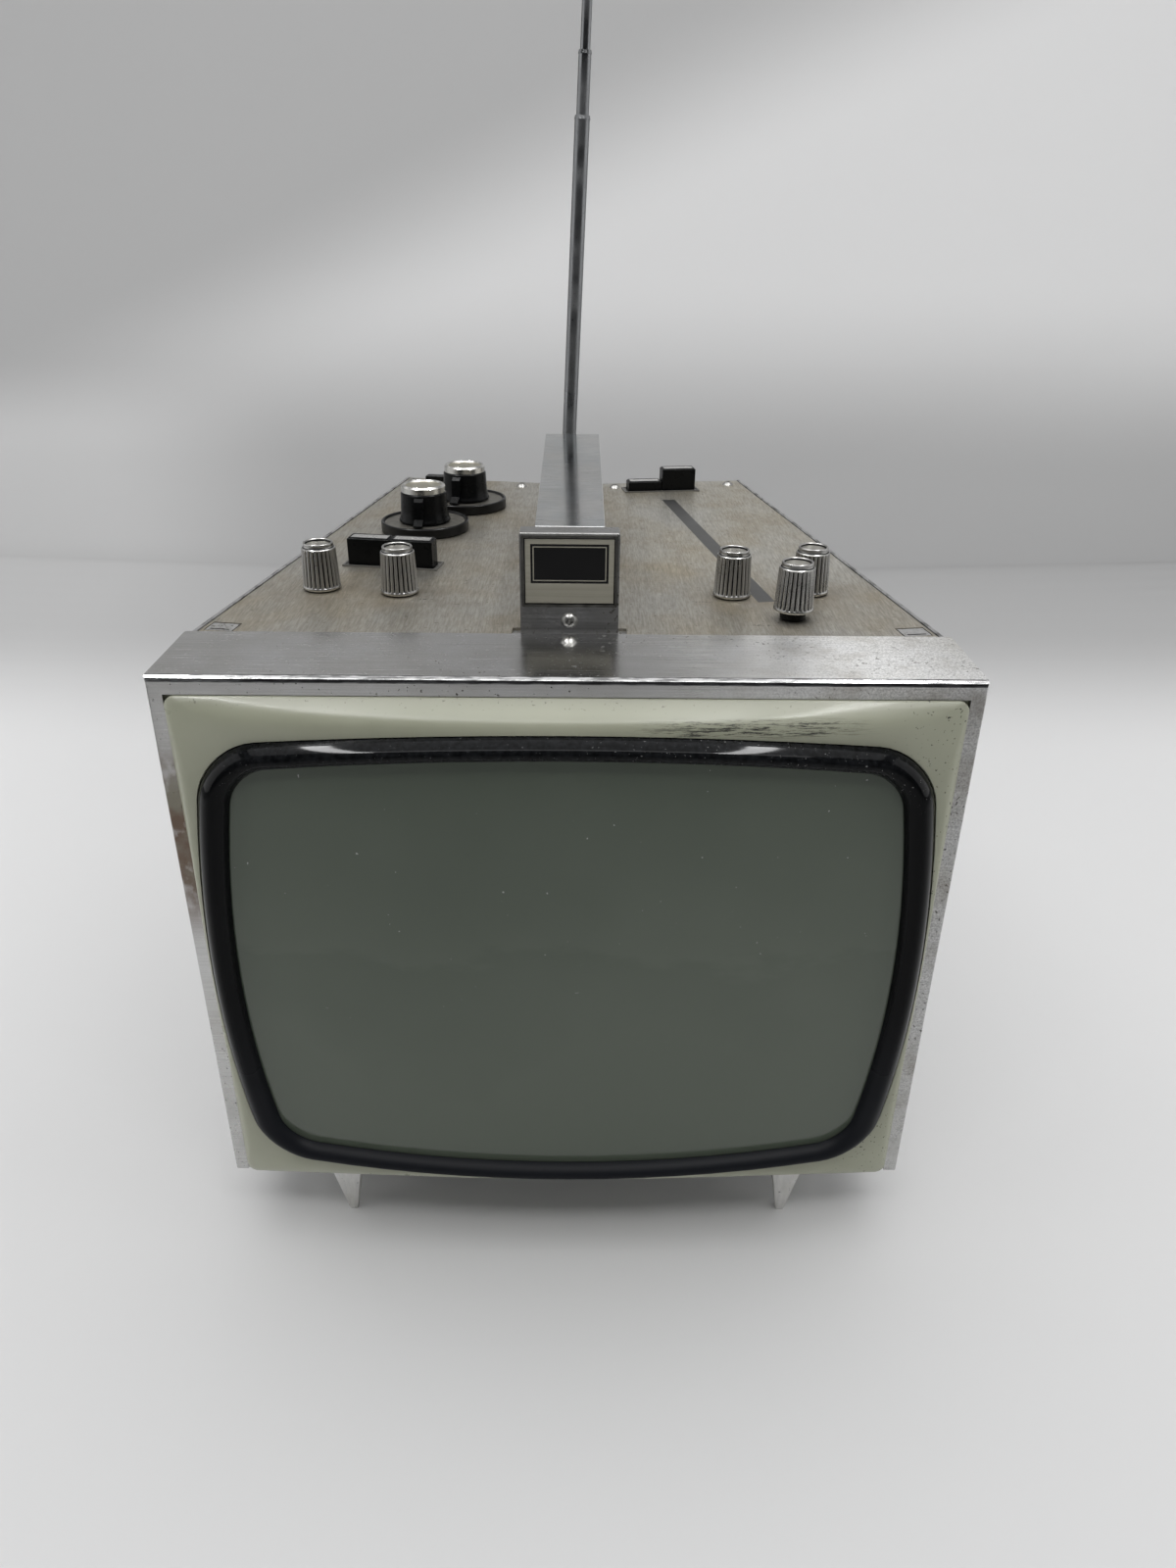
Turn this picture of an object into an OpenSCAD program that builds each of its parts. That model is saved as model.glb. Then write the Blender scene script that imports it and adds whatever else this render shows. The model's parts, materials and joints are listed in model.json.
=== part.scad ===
// Portable television with a tapered cabinet. A folded aluminium band frames the
// bezel and the picture tube, the controls stand on a brushed panel on top, and a
// carrying handle runs over them with a telescopic aerial at its rear end.
// Lengths are in millimetres. X runs to the right, Y to the rear and Z up. Pieces are
// laid out from the band's front plane (Y = 0) and the bezel's lower edge (Z = 0);
// set_on_feet() moves them so that Z = 0 is the surface the feet stand on.

/* [Front band] */
// Width over the front band
set_w = 300; // [290:1:320]
// Height of the band's top above the bezel's lower edge
band_h = 239.3; // [237:0.1:250]
// Depth of the band's top plate
band_d = 47; // [42:1:52]
// Sheet thickness of the band
band_t = 2; // [1.5:0.1:2.5]
// Width of the return that frames the bezel
band_lip = 5.7; // [5:0.1:7]
// Height of the return over the bezel
band_brow = 7.1; // [6:0.1:9]
// Polished round along the band's front top edge
band_round = 2.4; // [1:0.1:3]

/* [Bezel] */
// Depth of the bezel behind the band's front plane
bezel_depth = 8; // [7.5:0.5:11]
// Radius of the bezel's outer corners
bezel_corner = 4; // [2:0.5:8]
// Thickness of the flange behind the band's return
bezel_flange_t = 3; // [2:0.1:4]
// How far the bezel's rim stands proud of the band
bezel_proud = 1.4; // [0.5:0.1:2.5]

/* [Screen] */
// Distance of the black mask from the band's sides
mask_side = 9; // [8.5:0.1:14]
// Distance of the mask below the band's top
mask_above = 17.5; // [16.5:0.1:22]
// Distance of the mask above the bezel's lower edge
mask_below = 8.6; // [7:0.1:12]
// Corner radius of the mask
mask_corner = 20.8; // [18:0.1:26]
// Bow of the mask's sides
mask_bow_w = 8.1; // [6:0.1:9]
// Bow of the mask's top and bottom
mask_bow_h = 8.2; // [6:0.1:9]
// Visible width of the mask
mask_w = 11.1; // [9:0.1:12.5]
// Height of the mask's crest over the screen
mask_crest = 5.3; // [3:0.1:6]
// Radius of the screen's dome
screen_r = 1100; // [900:10:1300]
// How far the dome's centre stands in front of the band
screen_bulge = 16.7; // [15:0.1:18]

/* [Picture tube] */
// Length of the tube from the screen's centre to the end of the neck
tube_len = 255; // [235:1:270]
// Depth of the face panel's straight skirt behind the band's front plane
tube_skirt = 32; // [28:1:40]
// Distance from the band's front plane to where the funnel meets the neck
funnel_end = 140; // [125:1:155]
// Diameter of the neck
neck_d = 28.6; // [26:0.2:30]
// Outer diameter of the deflection yoke
yoke_d = 84; // [76:1:96]
// Length of the deflection yoke
yoke_len = 46; // [38:1:52]

/* [Cabinet] */
// Width across the cabinet's rear corners
rear_w = 208; // [200:1:240]
// Depth from the band to the cabinet's rear corners
body_len = 288; // [275:1:320]
// Wall of the cabinet shell
shell_t = 1.5; // [1.2:0.1:2.5]
// Width of the ledge that carries the control panel
ledge_w = 5; // [4:0.5:5.5]
// Number of sound slots in the right-hand side
sound_slots = 9; // [5:1:10]

/* [Control panel] */
// Sheet thickness of the panel
panel_t = 1.2; // [0.8:0.1:1.6]
// Height of the band above the panel
panel_drop = 0.8; // [0.4:0.1:1.2]
// Distance of the rows of small knobs from the band
row_along = 63.2; // [60:0.2:68]
// Distance of the outer small knobs from the side edge
outer_inset = 31.6; // [30:0.2:34]
// Distance between the two small knobs of a row
knob_pitch = 35.2; // [32:0.1:36]
// Distance of the single front knob from the band
lone_along = 30.6; // [30:0.2:34]
// Distance of the single front knob from the side edge
lone_inset = 52; // [49:0.5:55]

/* [Small knobs] */
// Diameter of a small knob at its foot
knob_d = 16; // [15:0.1:18]
// Diameter of a small knob under its rim
knob_top_d = 14.4; // [13:0.1:15]
// Height of a small knob
knob_h = 20.7; // [18:0.1:23]
// Number of flutes
flutes = 22; // [16:1:26]
// Depth of a flute
flute_depth = 0.9; // [0.4:0.1:1.2]
// Gap between a knob and the panel
knob_gap = 0.6; // [0.4:0.1:1]
// Extra lift of the single front knob on its collar
lone_lift = 3.3; // [2:0.1:4]
// Diameter of a knob's shaft
shaft_d = 4; // [3:0.1:5]
// Diameter of a potentiometer's case
pot_d = 16; // [14:0.5:17]

/* [Tuner knobs] */
// Outer diameter of a fine-tuning ring
ring_d = 45.2; // [42:0.2:48]
// Height of a fine-tuning ring above the panel
ring_h = 5.4; // [4:0.1:6.5]
// Diameter of a tuner knob's skirt
tuner_skirt_d = 26.4; // [24:0.2:28]
// Diameter of a tuner knob's body
tuner_d = 23.4; // [21:0.2:24]
// Diameter of a tuner knob's bright cap
cap_d = 22.4; // [20:0.2:23]
// Height of a tuner knob's top above the panel
tuner_top = 23.5; // [20:0.5:26]
// Distance of the front tuner from the band
tuner_a_along = 170; // [166:1:174]
// Distance of the front tuner from the side edge
tuner_a_inset = 46; // [42:1:50]
// Distance of the rear tuner from the band
tuner_b_along = 223; // [221:1:228]
// Distance of the rear tuner from the side edge
tuner_b_inset = 54.5; // [50:0.5:58]
// Angle of the front tuner's pointer from straight ahead
pointer_a = 5; // [0:1:30]
// Angle of the rear tuner's pointer from straight ahead
pointer_b = 17; // [0:1:30]

/* [Push keys] */
// Width of a key
key_w = 20.1; // [18:0.1:22]
// Depth of a key
key_d = 8.6; // [8:0.1:11]
// Height of a raised key above the panel
key_h = 13.2; // [12:0.1:16]
// Travel of a key
key_travel = 7; // [5:0.5:7.5]
// Distance of the front pair's near edge from the band
front_keys_along = 99.3; // [96:0.5:104]
// Distance of the front pair's outer end from the side edge
front_keys_inset = 29; // [26:0.5:32]
// Distance of the rear pair's near edge from the cabinet's rear edge
rear_keys_from_rear = 24.8; // [23:0.2:29]
// Distance of the rear pair's outer end from the side edge
rear_keys_inset = 34.9; // [30:0.1:36]
// Width of a key frame's border
frame_border = 2.4; // [2:0.1:3.6]

/* [Range switch] */
// Width of the range switch's slider
slider_w = 26; // [22:0.5:28]
// Depth of the range switch's slider
slider_d = 7; // [6:0.5:8]
// Height of the slider above the panel
slider_h = 3.1; // [2:0.1:5]
// Travel of the slider to each side
slider_travel = 3; // [2:0.5:3.5]

/* [Handle] */
// Width of the front post
post_w = 38.6; // [36:0.2:42]
// Depth of the front post
post_d = 10; // [8:0.5:12]
// Height of the front post above the panel
post_h = 39.3; // [36:0.1:44]
// Distance of the front post from the band's front plane
post_y = 52.1; // [50:0.1:54]
// Width of the handle's bar
bar_w = 27.4; // [24:0.2:32]
// Thickness of the bar
bar_t = 8; // [6:0.5:10]
// Length of the bar
bar_len = 152; // [140:1:154]
// Slope of the bar in degrees
bar_slope = 3.3; // [0:0.1:4]
// Depth of the rear post under the bar
rear_post_d = 12; // [10:0.5:14]
// Thickness of the badge frame
badge_t = 1.4; // [1:0.1:2]

/* [Aerial] */
// Diameter of the lowest tube
aerial_d = 7; // [6.4:0.1:8]
// Step in diameter from one tube to the next
aerial_step = 1.2; // [0.9:0.05:1.25]
// Length of the lowest tube above its pivot
aerial_len = 152; // [140:1:165]
// Drawn-out length of the second tube
aerial_out_2 = 25; // [20:1:40]
// Drawn-out length of the third tube
aerial_out_3 = 55; // [20:1:70]
// Drawn-out length of the fourth tube
aerial_out_4 = 30; // [20:1:40]
// Lean of the aerial to the right in degrees
aerial_lean = 2.3; // [0:0.1:4]

/* [Feet] */
// Height of a foot
foot_h = 34; // [28:1:44]
// Width of a foot at its top
foot_top = 14.4; // [11:0.2:16]
// Width of a foot at its sole
foot_sole = 3.6; // [3:0.2:8]
// Distance between the feet of a pair
foot_pitch = 202; // [190:1:210]
// Distance of the front feet from the band's front plane
foot_y = 9.2; // [8:0.2:14]
// Distance between the rear feet
rear_foot_pitch = 150; // [130:1:170]

/* [Back cover] */
// How far the cover stands out behind the shell
cover_depth = 14; // [10:0.5:18]
// Wall of the cover
cover_t = 2.5; // [2:0.1:3]
// Number of cooling slots in each column
cover_slots = 14; // [8:1:16]
// Width of a cooling slot
slot_w = 3; // [2:0.1:4]

/* [Hidden] */
$fn = 48;
fit_gap = 0.3;          // gap between pieces that sit together
run_gap = 0.08;         // radial running clearance of shafts and tubes
eps = 0.01;
half_w = set_w / 2;

panel_top = band_h - panel_drop;
panel_under = panel_top - panel_t;
rail_top = band_h - band_t;
shell_half = half_w - band_t - fit_gap;
kink_y = band_d + 1;
taper = atan((shell_half - rear_w / 2) / body_len);
side_len = body_len / cos(taper);
mask_half_w = half_w - mask_side;
mask_half_h = (band_h - mask_above - mask_below) / 2;
screen_z = mask_below + mask_half_h;
// The mask's crest is the front, the cover's outer corners are the rear.
crest_h = mask_half_h - 0.4 * mask_w;
front_y = screen_r - screen_bulge - sqrt(screen_r * screen_r - crest_h * crest_h)
    + 0.1 - mask_crest - fit_gap;
rear_y = kink_y + (side_len + cover_depth) * cos(taper) - 3 * sin(taper);
depth_mid = (rear_y + front_y) / 2;
lip_h = 0.4;            // height of the shell's lip over the panel
screw_d = 3;
head_d = 6.6;
head_h = 2.1;

// Outline of screen, mask and bezel aperture
corner_steps = 9;
side_steps = 14;

// ---------- Frames and places ----------

module set_on_feet() translate([0, -depth_mid, foot_h]) children();

// A point on top of the cabinet, measured along the right side edge from the band and
// square to it towards the middle; mirror X for the left side.
function side_pt(along, inset) = [
    shell_half - along * sin(taper) - inset * cos(taper),
    kink_y + along * cos(taper) - inset * sin(taper)];

// Children stand at such a point, square to the side edge (side 1 right, -1 left).
module on_half(side, along, inset, z = 0) {
    p = side_pt(along, inset);
    translate([side * p.x, p.y, z]) rotate([0, 0, side * taper]) children();
}

// Where a line across one half, at a given distance along the edge, meets the middle.
function middle_y(along) = let (s = (shell_half - along * sin(taper)) / cos(taper))
    kink_y + along * cos(taper) - s * sin(taper);

// Plan of the cabinet, its sides moved in by d and its rear edge by rear_d.
function half_plan(d, front_y, rear_d) = [
    [shell_half - d, front_y],
    side_pt(d * tan(taper / 2), d),
    side_pt(side_len - rear_d, d)];
function mirrored(pts) = [for (i = [len(pts) - 1:-1:0]) [-pts[i].x, pts[i].y]];
function plan(d, front_y, rear_d) = let (half = half_plan(d, front_y, rear_d))
    concat(half, [[0, middle_y(side_len - rear_d)]], mirrored(half));

// ---------- Outlines that follow the screen ----------

function arc_pts(c, r, a0) = [for (i = [0:corner_steps])
    c + r * [cos(a0 + 90 * i / corner_steps), sin(a0 + 90 * i / corner_steps)]];
function edge_pts(p, q) = [for (i = [1:side_steps - 1]) p + (q - p) * i / side_steps];
function rounded_pts(hw, hh, r) = let (
        a = arc_pts([hw - r, hh - r], r, 0), b = arc_pts([r - hw, hh - r], r, 90),
        c = arc_pts([r - hw, r - hh], r, 180), d = arc_pts([hw - r, r - hh], r, 270),
        e = corner_steps)
    concat(a, edge_pts(a[e], b[0]), b, edge_pts(b[e], c[0]),
        c, edge_pts(c[e], d[0]), d, edge_pts(d[e], a[0]));

// A rounded rectangle whose sides bow outwards by bow_w and bow_h.
function bowed_pts(hw, hh, r, bow_w, bow_h) =
    let (w0 = hw - bow_w, h0 = hh - bow_h)
    [for (p = rounded_pts(w0, h0, r)) [
        p.x * (1 + bow_w / w0 * (1 - pow(p.y / h0, 2))),
        p.y * (1 + bow_h / h0 * (1 - pow(p.x / w0, 2)))]];
// The mask's outline moved in by d.
function screen_pts(d) = bowed_pts(mask_half_w - d, mask_half_h - 0.8 * d,
    mask_corner - 0.7 * d, mask_bow_w, mask_bow_h);

function dome_y(x, z) = screen_r - screen_bulge - sqrt(screen_r * screen_r - x * x - z * z);
// An outline (x, z about the screen's centre) laid on the dome, moved back by back.
function on_dome(pts, back) = [for (p = pts)
    [p.x, dome_y(p.x, p.y) + back, p.y + screen_z]];
function at_depth(pts, y) = [for (p = pts) [p.x, y, p.y + screen_z]];

// A solid ring through a closed series of loops with the same number of points. The
// series runs over the front from the outside in, and back over the rear.
module loop_ring(loops) {
    n = len(loops[0]);
    m = len(loops);
    polyhedron(points = [for (l = loops) each l],
        faces = [for (j = [0:m - 1], i = [0:n - 1]) let (
            a = j * n + i, b = j * n + (i + 1) % n,
            c = ((j + 1) % m) * n + (i + 1) % n, d = ((j + 1) % m) * n + i)
            each [[a, c, b], [a, d, c]]]);
}

// ---------- Small shapes ----------

// A rectangle from the origin with round corners, made of true arcs.
module rounded_square(w, d, r) {
    translate([r, 0]) square([w - 2 * r, d]);
    translate([0, r]) square([w, d - 2 * r]);
    for (x = [r, w - r], y = [r, d - r]) translate([x, y]) circle(r);
}

// A domed screw with a cross recess, head down on Z = 0 and shank along -Z.
module dome_screw(shank) {
    ball_r = (head_d * head_d / 4 + head_h * head_h) / (2 * head_h);
    difference() {
        intersection() {
            translate([0, 0, head_h - ball_r]) sphere(ball_r);
            cylinder(d = head_d, h = head_h + 1);
        }
        for (a = [0, 90]) rotate(a) translate([-1.5, -0.35, head_h - 1]) cube([3, 0.7, 2]);
    }
    translate([0, 0, -shank]) cylinder(d = screw_d, h = shank + eps);
}

// ---------- Front ----------

screw_from_rear = 9;      // distance of the band's screw from its rear edge

module front_trim() color("silver") set_on_feet() {
    difference() {
        intersection() {
            // plan with rounded vertical edges
            translate([-half_w, 0, 0]) linear_extrude(band_h) rounded_square(set_w, band_d, 1.2);
            // side view with the polished round along the front
            translate([-half_w, 0, 0]) rotate([90, 0, 90]) linear_extrude(set_w) {
                translate([band_round, 0]) square([band_d - band_round, band_h]);
                square([band_d, band_h - band_round]);
                translate([band_round, band_h - band_round]) circle(band_round);
            }
        }
        translate([band_t - half_w, band_t, -1])
            cube([set_w - 2 * band_t, band_d, rail_top + 1]);
        translate([band_lip - half_w, -1, -1])
            cube([set_w - 2 * band_lip, band_t + 2, band_h - band_brow + 1]);
        translate([0, band_d - screw_from_rear, rail_top - 1])
            cylinder(d = screw_d + 2 * run_gap, h = band_t + 2);
    }
}

bezel_half_w = half_w - band_lip - fit_gap;
bezel_top = band_h - band_brow - fit_gap;
bezel_half_h = bezel_top / 2;
bezel_dz = bezel_half_h - screen_z;       // bezel's middle above the screen's centre
seat_w = 3.4;                             // width of the mask's seat in the bezel
seat_depth = 2.6;
groove = 0.5;                             // gap around the mask
rim_bow = 3.8;                            // the lower edge stands out by this in the middle

function bezel_outline(d) = [for (p = bowed_pts(bezel_half_w - d, bezel_half_h - d,
    bezel_corner, 0, 0)) [p.x, p.y + bezel_dz]];
// Pillow section: rises steeply from the rim, then runs level to the mask.
function pillow(t) = 1 - pow(1 - t, 2.3);
function rim_loop(d, y) = [for (p = at_depth(bezel_outline(d), y))
    [p.x, p.y - rim_bow * max(0, 1 - p.z / 60) * (1 - pow(p.x / bezel_half_w, 2)), p.z]];
function pillow_loop(t) = let (rim = rim_loop(0.5, -bezel_proud),
        seat = on_dome(screen_pts(-groove), 0.4))
    [for (i = [0:len(rim) - 1]) [
        rim[i].x + (seat[i].x - rim[i].x) * t,
        rim[i].y + (seat[i].y - rim[i].y) * pillow(t),
        rim[i].z + (seat[i].z - rim[i].z) * t]];

module front_bezel() color("beige") set_on_feet() {
    flange_y = band_t + fit_gap;
    wide = 2.6;
    difference() {
        loop_ring([
            rim_loop(0, 0.6 - bezel_proud),
            pillow_loop(0), pillow_loop(0.12), pillow_loop(0.28), pillow_loop(0.46),
            pillow_loop(0.68), pillow_loop(1),
            on_dome(screen_pts(-groove), 0.4 + seat_depth),
            on_dome(screen_pts(seat_w), 0.4 + seat_depth),
            at_depth(screen_pts(seat_w), bezel_depth),
            at_depth(bezel_outline(3), bezel_depth),
            at_depth(bezel_outline(3), flange_y + bezel_flange_t),
            at_depth(bezel_outline(0), flange_y + bezel_flange_t)]);
        at_pillars(bezel_depth - 6) cylinder(d = screw_d + 2 * run_gap, h = 7);
    }
    // flange held behind the band's return, on the sides and the top
    for (side = [-1, 1])
        translate([side < 0 ? -bezel_half_w - wide : bezel_half_w - 2, flange_y, 1])
            cube([wide + 2, bezel_flange_t, bezel_top - 2]);
    translate([-bezel_half_w - wide, flange_y, bezel_top - 2])
        cube([2 * (bezel_half_w + wide), bezel_flange_t, wide + 2]);
}

module screen_mask() color([0.06, 0.06, 0.07]) set_on_feet() {
    // half-round crest from the outer foot to the lip on the glass
    crest = [for (s = [0:1 / 8:1]) [mask_w * s, 0.1 - mask_crest * pow(sin(180 * s), 0.75)]];
    loop_ring(concat(
        [for (c = crest) on_dome(screen_pts(c.x), c.y - fit_gap)],
        [on_dome(screen_pts(mask_w), 0), on_dome(screen_pts(seat_w + 1), 0),
         on_dome(screen_pts(seat_w + 1), seat_depth + 0.1),
         on_dome(screen_pts(0), seat_depth + 0.1)]));
}

// ---------- Picture tube ----------

glass_inset = seat_w + 1.3;      // face panel's edge inside the mask's outline
funnel_steps = 7;
skirt_wall = 6;
face_t = 8;
funnel_t = 3;

module tube_outline(d) translate([0, screen_z]) polygon(screen_pts(glass_inset + d));
module along_y(y0, y1) translate([0, y1, 0]) rotate([90, 0, 0]) linear_extrude(y1 - y0) children();

// The face panel: a spherical front with a skirt, open to the rear
module screen_glass() color([0.25, 0.28, 0.27]) set_on_feet() difference() {
    face_body(0, fit_gap, tube_skirt);
    face_body(skirt_wall, fit_gap + face_t, tube_skirt + 1);
}
module face_body(inset, back, end_y) intersection() {
    along_y(-screen_bulge - 5, end_y) tube_outline(inset);
    translate([0, screen_r - screen_bulge + back, screen_z]) sphere(screen_r, $fn = 200);
}

// The funnel runs from the face panel's outline to the round neck; t is 0 to 1.
function funnel_loop(t, wall) = let (rect = screen_pts(glass_inset + 2 + wall),
        r = neck_d / 2 + 2 - wall * 0.8, k = sin(90 * pow(t, 0.85)),
        y = tube_skirt + (funnel_end - tube_skirt) * t)
    [for (p = rect) let (a = atan2(p.y, p.x))
        [p.x + (r * cos(a) - p.x) * k, y, p.y + (r * sin(a) - p.y) * k + screen_z]];

module tube_funnel() color([0.16, 0.16, 0.17]) set_on_feet() loop_ring(concat(
    [for (i = [0:funnel_steps]) funnel_loop(i / funnel_steps, funnel_t)],
    [for (i = [funnel_steps:-1:0]) funnel_loop(i / funnel_steps, 0)]));

neck_end = tube_len - screen_bulge;
module tube_neck() color([0.55, 0.6, 0.62]) set_on_feet() difference() {
    translate([0, funnel_end, screen_z]) rotate([-90, 0, 0]) {
        cylinder(d = neck_d, h = neck_end - funnel_end);
        translate([0, 0, neck_end - funnel_end]) cylinder(d1 = neck_d, d2 = 18, h = 4);
    }
    translate([0, funnel_end - 1, screen_z]) rotate([-90, 0, 0])
        cylinder(d = neck_d - 3, h = neck_end - funnel_end);
}

band_w = 12;             // width of the tube's tension band
pillar = [bezel_half_w - 9, bezel_half_h - 9];    // its screws, from the bezel's middle
// Children stand on the four screw places with Z pointing to the rear.
module at_pillars(y) for (sx = [-1, 1], sz = [-1, 1])
    translate([sx * pillar.x, y, bezel_half_h + sz * pillar.y]) rotate([-90, 0, 0]) children();

module tube_band() color("gray") set_on_feet() difference() {
    union() {
        along_y(bezel_depth, bezel_depth + band_w) tube_outline(-1.5);
        at_pillars(bezel_depth) cylinder(d = 14, h = 2);
        // arms from the screws to the band
        for (sx = [-1, 1], sz = [-1, 1])
            translate([sx * pillar.x, bezel_depth, bezel_half_h + sz * pillar.y])
                rotate([-90, 0, 0]) rotate(atan2(sz, -sx)) translate([0, -5, 0]) cube([26, 10, 2]);
    }
    along_y(bezel_depth - 1, bezel_depth + band_w + 1) tube_outline(-0.15);
    at_pillars(bezel_depth - 1) cylinder(d = screw_d + 0.4, h = 5);
}

module tube_screws() color("silver") set_on_feet() at_pillars(bezel_depth + 2) {
    cylinder(d = 7, h = 2.2);
    translate([0, 0, -7]) cylinder(d = screw_d, h = 7 + eps);
}

module deflection_yoke() color("saddlebrown") set_on_feet()
    translate([0, funnel_end + 1, screen_z]) rotate([-90, 0, 0]) rotate_extrude($fn = 64) polygon([
        [neck_d / 2 + run_gap, 0], [yoke_d / 2 - 5, 0], [yoke_d / 2, 4], [yoke_d / 2, 9],
        [yoke_d / 2 - 8, 12], [neck_d / 2 + 13, yoke_len - 12], [neck_d / 2 + 13, yoke_len - 4],
        [neck_d / 2 + 7, yoke_len - 4], [neck_d / 2 + 7, yoke_len], [neck_d / 2 + run_gap, yoke_len]]);

module tube_socket() color("darkgreen") set_on_feet()
    translate([0, neck_end + 4, screen_z]) rotate([-90, 0, 0]) {
        cylinder(d = 24, h = 9);
        translate([-24, -20, 9]) cube([48, 40, 1.6]);
    }

// ---------- Cabinet ----------

shell_front_y = band_t + fit_gap + bezel_flange_t + fit_gap;
ledge_front = 16;        // ledges start this far behind the band, clear of the top rail

module cabinet_shell() color([0.75, 0.75, 0.73]) set_on_feet() {
    past = 30;           // cutting bodies run this far past the shell
    difference() {
        linear_extrude(panel_top + lip_h) polygon(plan(0, shell_front_y, 0));
        translate([0, 0, shell_t]) linear_extrude(band_h + past)
            polygon(plan(shell_t, shell_front_y - past, -past));
        // lower under the band's top plate
        translate([-half_w, 0, rail_top]) cube([set_w, band_d + fit_gap, band_t + past]);
        // sound slots in front of the loudspeaker
        for (i = [0:sound_slots - 1])
            on_half(1, speaker_along + (i - (sound_slots - 1) / 2) * 7, 0, speaker_z)
                translate([-5, -1.5, -26]) rotate([90, 0, 90]) linear_extrude(10) rounded_square(3, 52, 1.4);
        // cooling slots in the floor
        for (x = [-60:12:60]) translate([x - 2, 150, -1]) cube([4, 70, shell_t + 2]);
    }
    // ledges that carry the control panel
    for (side = [-1, 1]) on_half(side, 0, 0, panel_under - shell_t)
        translate([side > 0 ? -ledge_w : shell_t - eps, ledge_front, 0])
            cube([ledge_w - shell_t + eps, side_len - ledge_front - lug_d - 3, shell_t]);
    // tabs for the back cover's screws
    for (side = [-1, 1], z = rear_screw_z) on_half(side, side_len - tab_in - shell_t, 0, z - 6)
        translate([side > 0 ? -rear_screw_inset - 7 : 0.5, 0, 0]) difference() {
            cube([rear_screw_inset + 6.5, shell_t, 12]);
            translate([side > 0 ? 7 : rear_screw_inset - 0.5, -1, 6]) rotate([-90, 0, 0])
                cylinder(d = screw_d + 2 * run_gap, h = shell_t + 2);
        }
}

rail_y = 28;             // front edge of the top rail
rail_rear = post_y + post_d + 0.4;
rail_t = 2;

// The cross rail under the joint of band and panel; it carries the handle's front post.
module top_rail() color("gainsboro") set_on_feet() {
    half = shell_half - shell_t - fit_gap;
    back = half - (rail_rear - kink_y + 1) * tan(taper);
    difference() {
        union() {
            translate([0, 0, rail_top - rail_t]) linear_extrude(rail_t) polygon([[-half, rail_y],
                [half, rail_y], [half, kink_y - 1], [back, rail_rear], [-back, rail_rear],
                [-half, kink_y - 1]]);
            translate([3 - half, rail_y, rail_top - 14]) cube([2 * half - 6, rail_t, 13]);
            // tabs that show through the notches in the panel's front corners
            for (side = [-1, 1]) on_half(side, 3.6, 0, rail_top - eps)
                translate([side > 0 ? -14.5 : 3.5, 0, 0]) cube([11, notch_d - 1.2, panel_t + eps]);
        }
        for (side = [-1, 1]) on_half(side, 4.8, 0, rail_top - 3)
            translate([side > 0 ? -13 : 5, 0, 0]) cube([8, 1, 6]);
        translate([0, band_d - screw_from_rear, rail_top - 3])
            cylinder(d = screw_d + 2 * run_gap, h = 4);
    }
}

// Places of the small knobs: side, distance along the edge, inset from the edge
knob_places = [
    [-1, row_along, outer_inset - 2, 0],
    [-1, row_along, outer_inset - 2 + knob_pitch, 0],
    [1, row_along, outer_inset + 2 + knob_pitch, 0],
    [1, lone_along, lone_inset, lone_lift],
    [1, row_along, outer_inset + 2, 0]];
module at_knob(i) {
    p = knob_places[i];
    on_half(p[0], p[1], p[2], panel_top) children();
}
module pot_holes(d, z, h) for (p = knob_places) on_half(p[0], p[1], p[2], z) cylinder(d = d, h = h);

// Places of the key pairs and the tuners
pair_w = 2 * key_w + fit_gap;
module at_front_keys(z = 0) on_half(-1, front_keys_along, front_keys_inset, z) children();
module at_rear_keys(z = 0) on_half(1, side_len - rear_keys_from_rear,
    rear_keys_inset + pair_w, z) children();
module at_tuner_a(z = 0) on_half(-1, tuner_a_along, tuner_a_inset, z) children();
module at_tuner_b(z = 0) on_half(-1, tuner_b_along, tuner_b_inset, z) children();
module at_slider(z = 0) on_half(-1, side_len - 1.5 - slider_d / 2, 14 + slider_w / 2, z) children();
screw_inset = [[10.5, 81.4], [7.5, 75]];    // panel screws from the side edge, right and left
screw_from_edge = 11;    // and from the rear edge
module at_panel_screws(z = 0) for (half = [0, 1], inset = screw_inset[half])
    on_half(1 - 2 * half, side_len - screw_from_edge, inset, z) children();

notch_w = 12;
notch_d = 9.6;
post_notch = 3.4;        // width of the notch beside the handle's front post

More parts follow.
